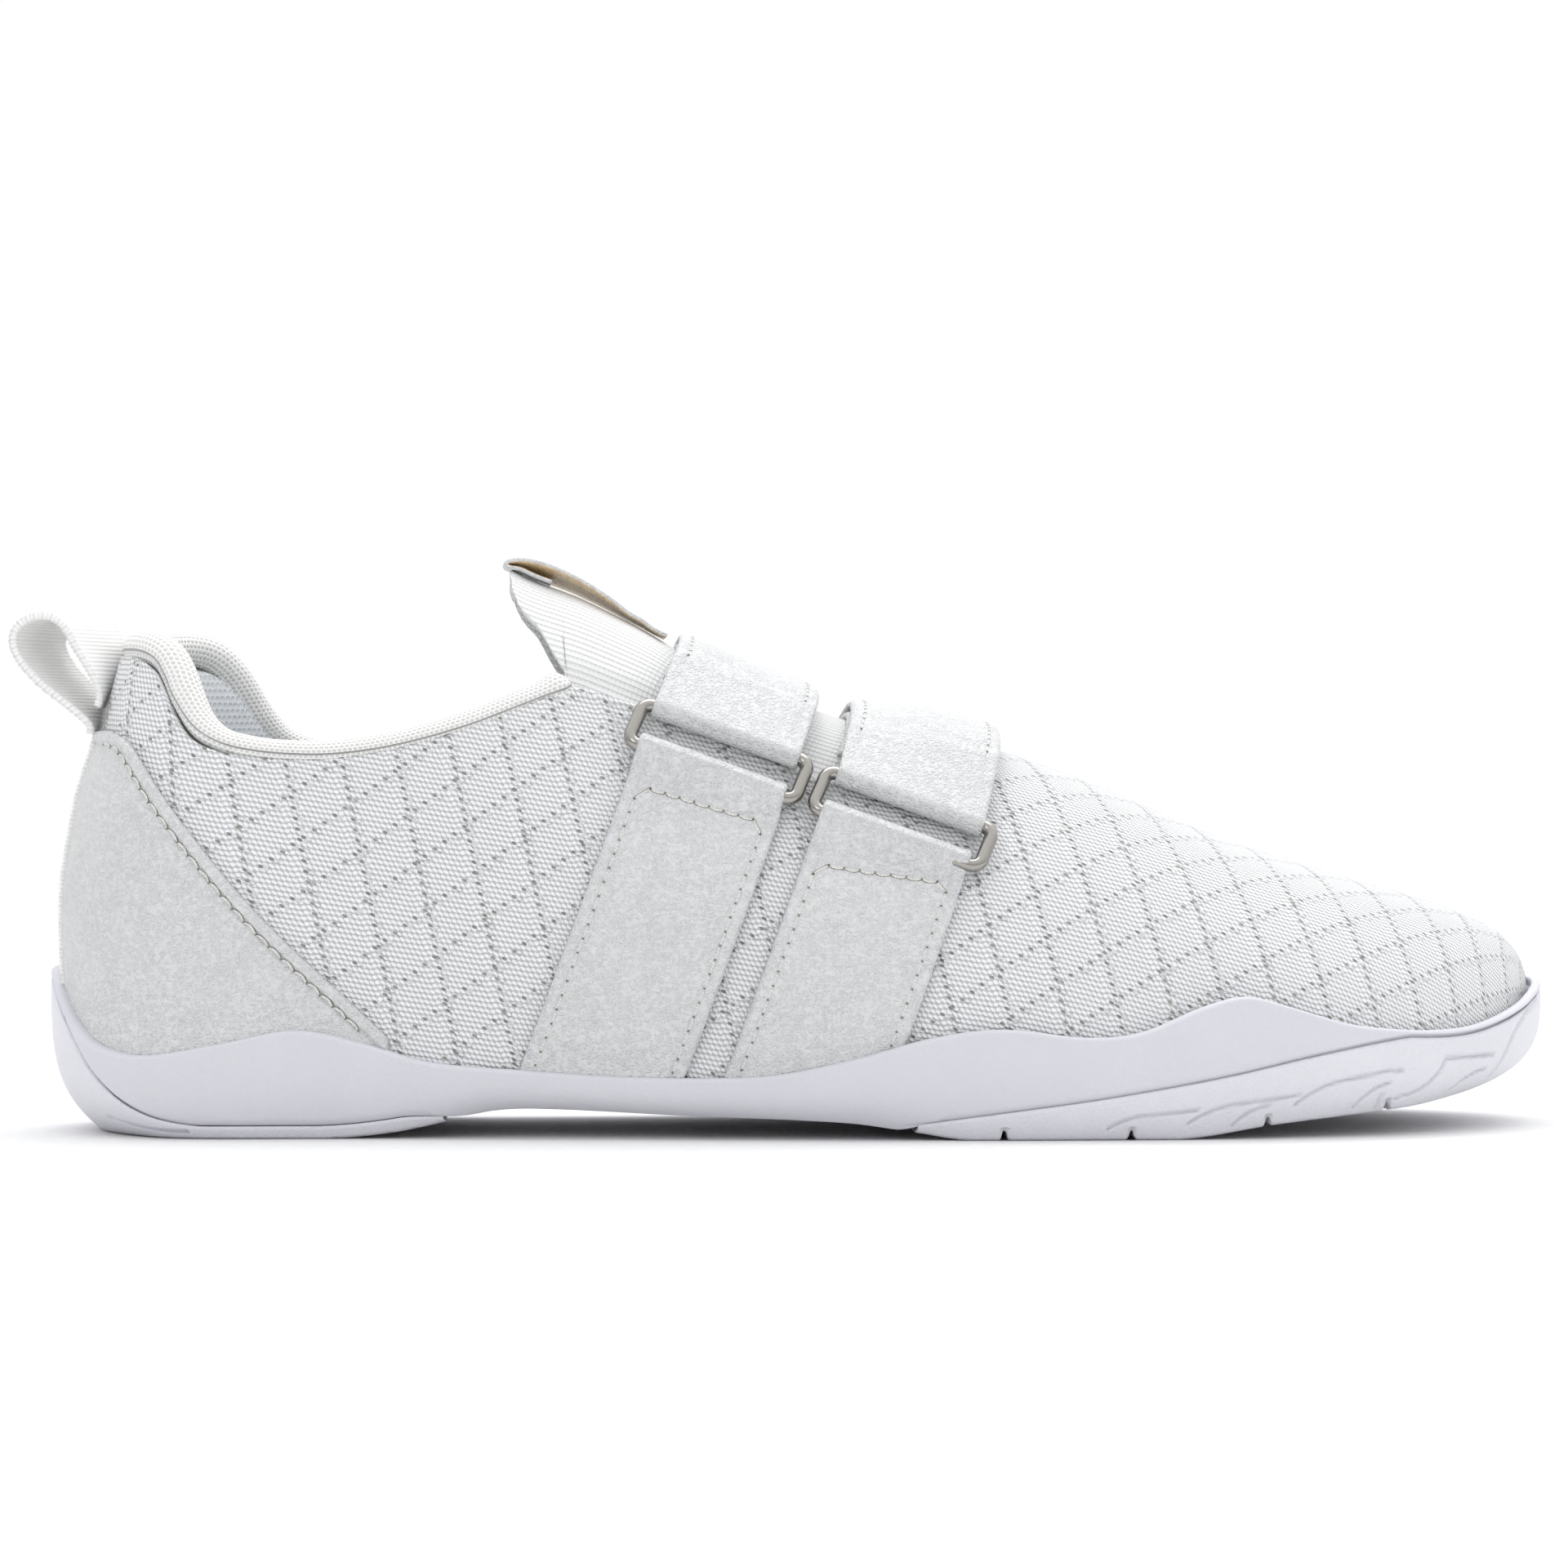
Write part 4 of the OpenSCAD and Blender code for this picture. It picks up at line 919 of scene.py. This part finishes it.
def make_tread(name, node, a, b, ends, grooves, slits):
    """A tread as a tray: down its outer wall, across its underside and up its inner wall.

    ends is how thick it is at its two ends.
    """
    m = 421
    x = even_stations(a, b, m, z=12)[:, None]
    low = sole_low(x)
    top = np.maximum(tread_top(x) - 0.1, low + tread_inset(x, TREAD - 0.15) + 0.05)

    def wall(outer):
        z = mix(low + 0.4, top, steps(34)[None])
        px, _ = plan(x, outer, SOLE_OUT)
        cut = tread_relief(px + 0 * z, z, grooves)
        round_top = 0.35 * (1 - fade(top - z, 0.0, 0.6))
        return sole_grid(x, z, round_top - cut, outer)

    left, right = wall(True), wall(False)
    k = steps(61)[None]
    edge = np.minimum(np.minimum(k, 1 - k) * 60, 1)
    a0, b0 = sole_grid(x, low, 0.5, True), sole_grid(x, low, 0.5, False)
    under = mix(a0, b0, k[..., None])
    wave = under[..., 0] + 1.6 * np.abs(away(under[..., 1], 11.0)) * 0.6
    cut = 0.9 * (1 - fade(np.abs(away(wave, 4.4)), 0.35, 0.75)) * fade(edge, 0.9, 1.0)
    for s in slits:
        cut = np.maximum(cut, 1.6 * (1 - fade(np.abs(under[..., 0] - s), 0.3, 0.6)))
    under[..., 2] = np.maximum(under[..., 2], low) + cut
    section = np.concatenate([left[:, ::-1], under, right], 1)
    for s in slits:
        near = 1 - fade(np.abs(section[..., 0] - s), 0.3, 0.6)
        depth = low + 2.4 - section[..., 2]
        section[..., 2] += near * fade(depth, 0.0, 0.6) * 1.3 * (depth > 0)
    inner = section.copy()
    middle = middle_line(x)
    half = np.abs(section[..., 1] - middle)
    ratio = np.clip((half - tread_inset(x, 0.7) - 0.05) / np.maximum(half, 1e-3), 0.0, 1)
    inner[..., 1] = middle + (section[..., 1] - middle) * ratio
    deep = low + tread_inset(x, TREAD - 0.15)
    inner[..., 2] = np.minimum(np.maximum(inner[..., 2], deep), np.maximum(top - 0.02, deep))
    inner[..., 0] = np.clip(inner[..., 0], a + ends[0], b - ends[1])
    points, faces, _ = shell(section[:, ::-1], inner[:, ::-1], None, 4)
    new_object(name, points, faces, "shoe", TREAD_MAT, replaces=(node,))


def make_sole():
    make_midsole()
    make_tread("forefoot_tread", "forefoot_outsole", 152.2, X_TOE - END_GAP, (0.8, 0.9), TOE_GROOVES, SLITS)
    make_tread("heel_tread", "heel_outsole", X_HEEL + END_GAP, 70, (0.9, 0.8), HEEL_GROOVES, ())


# ---- heel panels, ribbon and loop

panel_top = Curve((3, 70.4), (8, 70), (13, 67.4), (24, 55.5), (40, 37.6), (56, 22.6), (64, 15))


def make_panel(outer):
    m, n = 181, 81
    x = mix(X_HEEL + 1.1, 61.5, 1 - np.cos(np.linspace(0, math.pi / 2, m)))[:, None]
    lo = rim_line(x) - 1.5
    hi = np.maximum(panel_top(x), lo + 0.5)
    k = steps(n)[None] ** 0.85
    z = mix(lo, hi, k)
    th = side_angle(angle_at(x, z), outer)
    p0 = last(x, th, PLAY)
    edge = last(x, side_angle(angle_at(x, hi), outer), PLAY)[::2, 0]
    d = near_lines(p0[..., 0], p0[..., 2], [edge[:, [0, 2]]])
    high = 0.9 + 0.4 * (1 - fade(np.abs(d - 0.85), 0.55, 1.0)) - 0.22 * (1 - fade(np.abs(d - 2.4), 0.2, 0.7))
    high = high - 0.35 * (1 - fade(d, 0.0, 0.35))
    fold = bell(z - 24 - 0.2 * x, 2.4) + bell(z - 31 + 0.25 * x, 1.6) * 0.6
    high = high + 0.14 * fold * bell(x - 24, 10)
    skin, back = last(x, th, PLAY + high), p0
    if not outer:
        skin, back = skin[:, ::-1], back[:, ::-1]
    name = "outer_heel_panel" if outer else "inner_heel_panel"
    points, faces, _ = shell(skin, back)
    new_object(name + "_leather", points, faces, "shoe", LEATHER, replaces=(name,))
    xs = np.linspace(7.0, 58.2, 120)
    line = np.stack([xs, panel_top(xs)], -1)
    off = unit(np.gradient(line, axis=0))
    line = line + np.stack([off[:, 1], -off[:, 0]], -1) * np.where(off[:, :1] > 0, 1, -1) * 2.4
    line = line[(line[:, 1] > rim_line(line[:, 0]) + 1.0) & (line[:, 0] > X_HEEL + 1.3)]
    th = side_angle(angle_at(line[:, 0], line[:, 1]), outer)
    p, q = (last(line[:, 0], th, PLAY + t) for t in (0.85, 1.85))
    Seams(name, "shoe").run(p, unit(q - p), 3.0, sag=-0.4 if outer else 0.4).make()


def make_heel_ribbon():
    n, m = 41, 25
    side = np.linspace(-1, 1, m)
    x = X_HEEL + END_GAP + 1.0 * np.abs(side) ** 2.2
    outer = np.broadcast_to((side < 0)[None], (n, m))
    zz = mix((rim_line(x) - 1.0)[None], 69.9, steps(n)[:, None])
    xx = np.broadcast_to(x[None], zz.shape)
    th = side_angle(angle_at(xx, zz), outer)
    rib = 0.6 + 0.4 * np.sin(zz * 2 * math.pi / 0.9)
    bead = 0.25 * (1 - fade(1 - np.abs(side), 0.02, 0.12))[None] * rib
    skin = last(xx, th, PLAY + 1.15 + bead)
    back = last(xx, th, PLAY)
    uv = grid_uv(zz, side * 9)
    points, faces, uv = shell(skin[:, ::-1], back[:, ::-1], uv[:, ::-1])
    new_object("heel_ribbon_cloth", points, faces, "shoe", RIBBON, uv, ("heel_ribbon",))


def side_curve(path, count):
    """Smooth curve through points in the side view: its place on the list of points, x, z and direction."""
    i = np.arange(len(path))
    k = np.linspace(0, len(path) - 1, count)
    a, b = (Curve(*zip(i, path[:, c]))(k) for c in (0, 1))
    return k, a, b, unit(np.stack([np.gradient(a), np.gradient(b)], -1))


def make_pull_loop():
    path = np.array([(8.4, 70.4), (8.6, 72.2), (7.6, 74.4), (5.6, 77), (2.6, 80), (0, 83), (-1.4, 85.8),
                     (-1.3, 88.2), (0.2, 90.1), (2.6, 91.1), (5, 91), (7.2, 89.6), (8.8, 87), (10, 84),
                     (10.6, 80.8), (10.5, 77.8), (9.6, 75.2)])
    fine, a, b, run = side_curve(path, 121)
    d = lengths(np.stack([a, b], -1))
    turn = 25 * RAD * smooth(np.minimum(fine, len(path) - 1 - fine) / 4)
    wide, thick = 18.0, 0.9
    y = np.linspace(-0.5, 0.5, 37)
    rib = 0.2 + 0.12 * np.sin(d * 2 * math.pi / 0.85)
    bead = (1 - fade(0.5 - np.abs(y), 0.012, 0.05))[None] * rib[:, None]

    def face(h):
        off = h + np.sign(h) * bead
        cx = a[:, None] - run[:, 1:] * off + y[None] * wide * np.sin(turn)[:, None]
        cz = b[:, None] + run[:, :1] * off
        cy = np.broadcast_to(y[None] * wide, cx.shape) * np.cos(turn)[:, None]
        return np.stack([cx, cy, cz], -1)

    points, faces, uv = shell(face(thick / 2), face(-thick / 2), grid_uv(d[:, None], y * wide))
    loop = new_object("pull_loop_ribbon", points, faces, None, RIBBON, uv, ("pull_loop",))
    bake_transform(loop)


# ---- tongue

tongue_back = Curve((82, 98.6), (82.7, 94.6), (84.5, 91.5), (87, 88.8), (89.2, 84.8), (91.5, 81.2))


def tongue_point(x, th, drop):
    z = last(x, th, -1.5)[..., 2]
    low = -KNIT - 0.35 - 0.9 * smooth((x - 150) / 8)
    t = mix(low, -1.0, smooth((116 - x) / 12) * smooth((z - throat_line(x) - 0.5) / 4))
    return last(x, th, t - drop)


def make_tongue():
    m, n = 190, 181
    x = mix(82.2, 168, steps(m) ** 1.15)[:, None]
    under = np.where(x < 157, throat_line(x) - 5, 64.0)
    free = np.where(x < 91.5, tongue_back(x), under)
    lowest = mix(free, under, fade(x, 91.4, 98.0))
    a = np.minimum(angle_at(x, lowest, -1.5), 86)
    th = mix(a, 180 - a, steps(n)[None])
    p = tongue_point(x, th, 0.0)
    girth = lengths(p, 1)
    v = girth - girth[:, n // 2:n // 2 + 1]
    frill = 0.5 * np.sin(v * 1.1) * np.sin(v * 0.37 + 1) * (1 - fade(x - 82.2, 0.0, 3.0))
    skin = p.copy()
    skin[..., 0] -= frill * 0.5
    back = tongue_point(x, th, 1.5)
    back[..., 0] -= frill * 0.5
    points, faces, uv = shell(skin, back, grid_uv(x, v), 3)
    picks = np.repeat([0, 0, 1], [len(f) for f in faces])
    piece = new_object("tongue_cloth", points, faces, None, [RIBBED, FLUFF], uv,
                       ("tongue", "tongue_base"), picks)
    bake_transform(piece)


def make_tab():
    def on_top(x):
        return (x, float(top_line(x)) - 0.15)
    path = np.array([on_top(90), on_top(87), on_top(84.4), (82.6, 100.2), (81.8, 100.65), (82.4, 101.25),
                     (84.8, 101.5), (88.1, 100.9), (92.1, 99.4), (96.5, 97.1), (100.5, 94.5), (103.6, 92.1),
                     (106, on_top(106)[1] + 0.5), on_top(108), on_top(110.5)])
    fine, a, b, run = side_curve(path, 131)
    y = np.linspace(-6, 6, 25)
    soft = 1 - 0.45 * (np.abs(y) / 6) ** 10
    above = np.maximum(b - top_line(a) + 0.15, 0) * (fine > 5)
    tilt = -0.95 * above[:, None] * (y + 6) / 12

    def face(h):
        cx = a[:, None] - run[:, 1:] * h * soft
        cz = b[:, None] + run[:, :1] * h * soft + tilt
        return np.stack(np.broadcast_arrays(cx, y, cz), -1)

    points, faces, _ = shell(face(0.45), face(-0.45))
    picks = np.repeat([0, 1, 0], [len(f) for f in faces])
    new_object("tongue_tab", points, faces, "tongue", [LEATHER, TAN],
               replaces=("tongue_pull_tab",), picks=picks)


# ---- straps

LEAN = 20.5 * RAD
ACROSS = np.array([math.cos(LEAN), -math.sin(LEAN)])
WIDE, THICK, WIRE, BAR_GAP = 27.0, 1.2, 2.4, 8.6
HEM, PITCH = 2.3, 2.5               # how far in the stitch rows are, and how long their stitches
SLEEVE = WIRE / 2 + 0.06 + THICK
RING_T = PLAY + SLEEVE
FLAP_LOW = THICK + 2 * 0.45 + PLAY + 0.24
FLAP_END = 128


class Strap:
    """Places on one strap, counted from its ring."""

    def __init__(self, name, x0, z0):
        self.name, self.x0, self.z0 = name, x0, z0
        c = np.array([x0, z0])
        a, b = self.side(c - 12 * ACROSS), self.side(c + 12 * ACROSS)
        self.along = unit(b - a)
        rise = self.side(c + np.array([math.sin(LEAN), math.cos(LEAN)]) * 4) - self.side(c)
        self.out = unit(np.cross(self.along, rise))
        self.up = unit(np.cross(self.out, self.along))
        self.centre = (a + b) / 2

    def side(self, p):
        return last(p[0], angle_at(p[0], p[1], RING_T), RING_T)

    def lift(self, x, th):
        a = np.where(th < 90, th, 180 - th)
        start = angle_at(self.x0, self.z0 + 7)
        return PLAY - 1.7 * smooth((a - start) / 14) * (1 - smooth((x - 149) / 8))

    def point(self, off, th, h):
        """off across the strap in millimetres, th round the foot, h above the knit."""
        off, th, h = np.broadcast_arrays(off, th, h)
        x = np.full(off.shape, float(self.x0))
        for _ in range(6):
            p = last(x, th, h)
            now = (p[..., 0] - self.x0) * ACROSS[0] + (p[..., 2] - self.z0) * ACROSS[1]
            x = x + (off - now) / ACROSS[0]
        return last(x, th, h + self.lift(x, th))

    def rim_angle(self, off):
        """Angle at which a strap, thinned to go behind the rim, leaves the rim's top edge."""
        x = self.x0 + off / ACROSS[0] - (self.z0 - 15) * math.tan(LEAN)
        return angle_at(x, rim_line(x) - 0.6, PLAY)

    def angle(self, up):
        return angle_at(self.x0 + math.sin(LEAN) * up, self.z0 + math.cos(LEAN) * up)

    def beside(self, off, up, out):
        off, up, out = np.broadcast_arrays(*(np.asarray(v, float)[..., None] for v in (off, up, out)))
        return self.centre + self.along * off + self.up * up + self.out * out


def cross_profile(off):
    """Height of a strap's face across its width: rolled edges, a hem and a groove at each stitch row."""
    e = WIDE / 2 - np.abs(off)
    return (0.16 * fade(e, HEM, HEM + 3.5) - 0.26 * (1 - fade(np.abs(e - HEM), 0.15, 0.6))
            - 0.5 * (1 - fade(e, 0.0, 0.5)) ** 2)


def squeeze(profile):
    return np.clip(profile, -0.5, 0)[None, :, None] * 0.8


def strap_offsets(n):
    """Places across a strap, closer together at its edges."""
    k = np.linspace(-1, 1, n)
    return WIDE / 2 * np.sin(k * math.pi / 2) * 0.35 + WIDE / 2 * k * 0.65


def strap_piece(s, part, skin, back, off, body):
    """The leather of one part of a strap. Its seams and the lengths along it are returned."""
    name = s.name + part
    d = lengths(skin[:, len(off) // 2])
    points, faces, uv = shell(skin, back, grid_uv(d[:, None], off))
    piece = new_object(name + "_leather", points, faces, body, LEATHER, uv, (name,))
    return Seams(name, body), d


def seam_on(seams, skin, rows, columns, pitch, sag=0.0):
    """A stitch row on a grid, from one fractional row and column to another."""
    a, b = np.linspace(*rows, 160), np.linspace(*columns, 160)
    seams.run(bilinear(skin, a, b), bilinear(grid_normals(skin), a, b), pitch, sag)


def column_at(off, distance):
    """Fractional column of a strap's grid at a distance in from the near (-) or far (+) edge."""
    at = -WIDE / 2 + distance if distance > 0 else WIDE / 2 + distance
    return float(np.interp(at, off, np.arange(len(off))))


def fold_rows(s, bar, off, turn, radius, taper=0.0):
    """Rows of points round a bar of the ring, through turn degrees: the far end is thinner by taper."""
    k = steps(22)[:, None]
    a = k * turn * RAD
    r = radius - taper * smooth((k - 0.08) / 0.27)
    return s.beside(off[None], bar * BAR_GAP / 2 + r * np.sin(a), r * np.cos(a))


def make_anchor(s):
    """From the sole up to the ring's lower bar, round it and back under itself."""
    off = strap_offsets(45)
    profile = cross_profile(off)
    b = s.angle(-BAR_GAP / 2 - 5.2)
    k = steps(90)[:, None]
    a = s.rim_angle(off)[None]
    double = 2 * THICK - 0.5
    puff = 0.3 * np.sin(k * math.pi) * (1 - (2 * off / WIDE)[None] ** 2)
    thin = 1.15 * (1 - fade(k, 0.0, 0.1))
    th = mix(a, b, k)
    face = s.point(off[None], th, double + profile + puff - thin)
    under = s.point(off[None], th, 0.0)
    fold = fold_rows(s, -1, off, 150, SLEEVE - 0.08) + s.out * squeeze(profile)
    bridge_k = steps(12)[1:-1][:, None, None]
    bridge = mix(face[-1:], fold[:1], smooth(bridge_k))
    skin = np.concatenate([face, bridge, fold], 0)
    tail = fold_rows(s, -1, off, 150, SLEEVE - THICK)
    bridge_in = mix(under[-1:], s.beside(off[None], -BAR_GAP / 2 - 1.3, -1.6), smooth(bridge_k))
    sweep = mix(bridge_in[-1:], tail[-1:], steps(22)[:, None, None])
    back = np.concatenate([under, bridge_in, sweep], 0)
    seams, d = strap_piece(s, "_anchor_strap", skin, back, off, "shoe")
    low, corner, high = (float(np.searchsorted(d, at)) for at in (1.2, d[89] - 4.4, d[89] - 2.2))
    near, far = column_at(off, HEM), column_at(off, -HEM)
    step = 2.2 * 44 / WIDE
    for rows, columns, sag in (((low, corner), (near, near), 0), ((low, corner), (far, far), 0),
                               ((corner, high), (near, near + step), 0),
                               ((high, high), (near + step, far - step), -0.22),
                               ((high, corner), (far - step, far), 0)):
        seam_on(seams, skin, rows, columns, 2.6, sag)
    seams.make()


def make_flap(s):
    """The free end: round the ring's upper bar and back over the instep."""
    off = strap_offsets(45)
    profile = cross_profile(off)
    a = s.angle(BAR_GAP / 2 + 6.2)
    k = steps(100)[:, None]
    ends = np.sqrt(np.clip(1 - (2 * off / WIDE) ** 2, 0, 1))
    last_th = FLAP_END - 9 * (1 - ends)[None] ** 1.5
    th = mix(a, last_th, k)
    h = FLAP_LOW + 0.25 * (1 - smooth(k / 0.3))
    edge = 0.5 * smooth((np.abs(off) / WIDE - 0.4) / 0.1)[None] * smooth(k / 0.3)
    wrinkle = 0.16 * np.sin(k * 55 + 2 * np.sin(off / 5)[None]) * bell(k, 0.13)
    face = s.point(off[None], th, h - edge + THICK + profile + wrinkle)
    under = s.point(off[None], th, h - edge)
    fold = fold_rows(s, 1, off, -150, SLEEVE - 0.08, 0.45) + s.out * squeeze(profile)
    bridge_k = steps(12)[1:-1][:, None, None]
    bridge = mix(fold[:1], face[:1], smooth(bridge_k))
    skin = np.concatenate([fold[::-1], bridge, face], 0)
    tail = fold_rows(s, 1, off, -150, SLEEVE - THICK)
    lower = s.beside(off[None], BAR_GAP / 2 + 1.3, -0.7)
    sweep = mix(tail[-1:], lower, steps(22)[:, None, None])
    bridge_in = mix(lower, under[:1], smooth(bridge_k))
    back = np.concatenate([sweep, bridge_in, under], 0)
    seams, d = strap_piece(s, "_flap", skin, back, off, s.name + "_flap")
    low, high = float(np.searchsorted(d, d[32] + 1.5)), len(skin) - 7.0
    near, far = column_at(off, HEM), column_at(off, -HEM)
    for rows, columns in (((low, high), (near, near)), ((low, high), (far, far)),
                          ((high, high), (near, far))):
        seam_on(seams, skin, rows, columns, PITCH)
    seams.make()


def make_under(s):
    """The part under the flap, which runs over the instep and down to the sole's inner side."""
    off = strap_offsets(33)
    profile = cross_profile(off) * 0.8
    a = s.angle(BAR_GAP / 2 + SLEEVE + 1.4)
    b = 180 - s.rim_angle(off)[None]
    k = steps(130)[:, None]
    th = mix(a, b, k)
    skin = s.point(off[None], th, THICK + profile - 0.5 * fade(k, 0.95, 1.0))
    back = s.point(off[None], th, 0.0)
    seams, _ = strap_piece(s, "_under_strap", skin, back, off, "shoe")
    for inset in (HEM, -HEM):
        column = column_at(off, inset)
        seam_on(seams, skin, (70.0, 126.0), (column, column), PITCH)
    seams.make()


def make_straps():
    for s in (Strap("rear", 118.8, 67.1), Strap("front", 149.9, 55.4)):
        make_anchor(s)
        make_under(s)
        make_flap(s)


# ---- room

def look_at(obj, target):
    obj.rotation_euler = (Vector(target) - obj.location).to_track_quat("-Z", "Y").to_euler()


def area_light(name, place, target, size, power):
    data = bpy.data.lights.new(name, "AREA")
    data.shape = "RECTANGLE"
    data.size, data.size_y = size
    data.energy = power
    obj = add_object(name, data)
    obj.location = place
    look_at(obj, target)


def make_sky():
    """Studio light from all round: brightest above and behind the shoe, white to the camera."""
    world = bpy.data.worlds.new("studio")
    world.use_nodes = True
    tree = world.node_tree
    place = new_node(tree, "TexCoord", {})
    split = new_node(tree, "SeparateXYZ", {0: place.outputs["Generated"]})
    x, y, z = (Value(tree, split.outputs[i]) for i in range(3))
    light = x * 0.08 + fade(z, 0.0, 1.0) * 0.55 + fade(y, -0.6, 0.8) * 0.28 + 0.66
    inputs = {"Color": (0.985, 0.99, 1, 1), "Strength": light.socket}
    back = new_node(tree, "Background", inputs)
    white = new_node(tree, "Background", {"Color": (1, 1, 1, 1)})
    seen = new_node(tree, "LightPath", {})
    inputs = {"Fac": seen.outputs["Is Camera Ray"], 1: back.outputs[0], 2: white.outputs[0]}
    choice = new_node(tree, "MixShader", inputs)
    tree.links.new(choice.outputs[0], tree.nodes["World Output"].inputs["Surface"])
    bpy.context.scene.world = world


def make_room():
    mesh = bpy.data.meshes.new("floor")
    half = 1.7
    corners = [(-half, -half, 0), (half, -half, 0), (half, half, 0), (-half, half, 0)]
    mesh.from_pydata(corners, [], [(0, 1, 2, 3)])
    mesh.materials.append(plain_look("floor_paper", (0.88, 0.88, 0.88), 0.9, 3.0, 0.01))
    add_object("floor", mesh)
    make_sky()
    area_light("overhead", (0.15, 0.35, 1.1), (0, 0, 0.03), (1.0, 0.8), 5.5)
    area_light("front", (-0.7, -1.4, 0.9), (0, 0, 0.05), (0.5, 0.5), 1.8)
    bpy.context.scene.view_settings.view_transform = "Standard"


def make_camera():
    data = bpy.data.cameras.new("camera")
    data.sensor_width = 36
    distance, view_width = 900.0, 282.6
    data.lens = 36 * distance / view_width
    data.clip_start, data.clip_end = 0.05, 30
    obj = add_object("camera", data)
    target = np.array([131.9, 0, 61.5])
    turn = 4 * RAD
    obj.location = metres(target - distance * np.array([math.sin(turn), math.cos(turn), 0]))
    look_at(obj, metres(target))
    bpy.context.scene.camera = obj


make_upper()
make_collar()
make_lining()
dress_hidden_nodes()
make_insole()
make_sole()
make_panel(True)
make_panel(False)
make_heel_ribbon()
make_pull_loop()
make_tongue()
make_tab()
make_straps()
make_room()
make_camera()
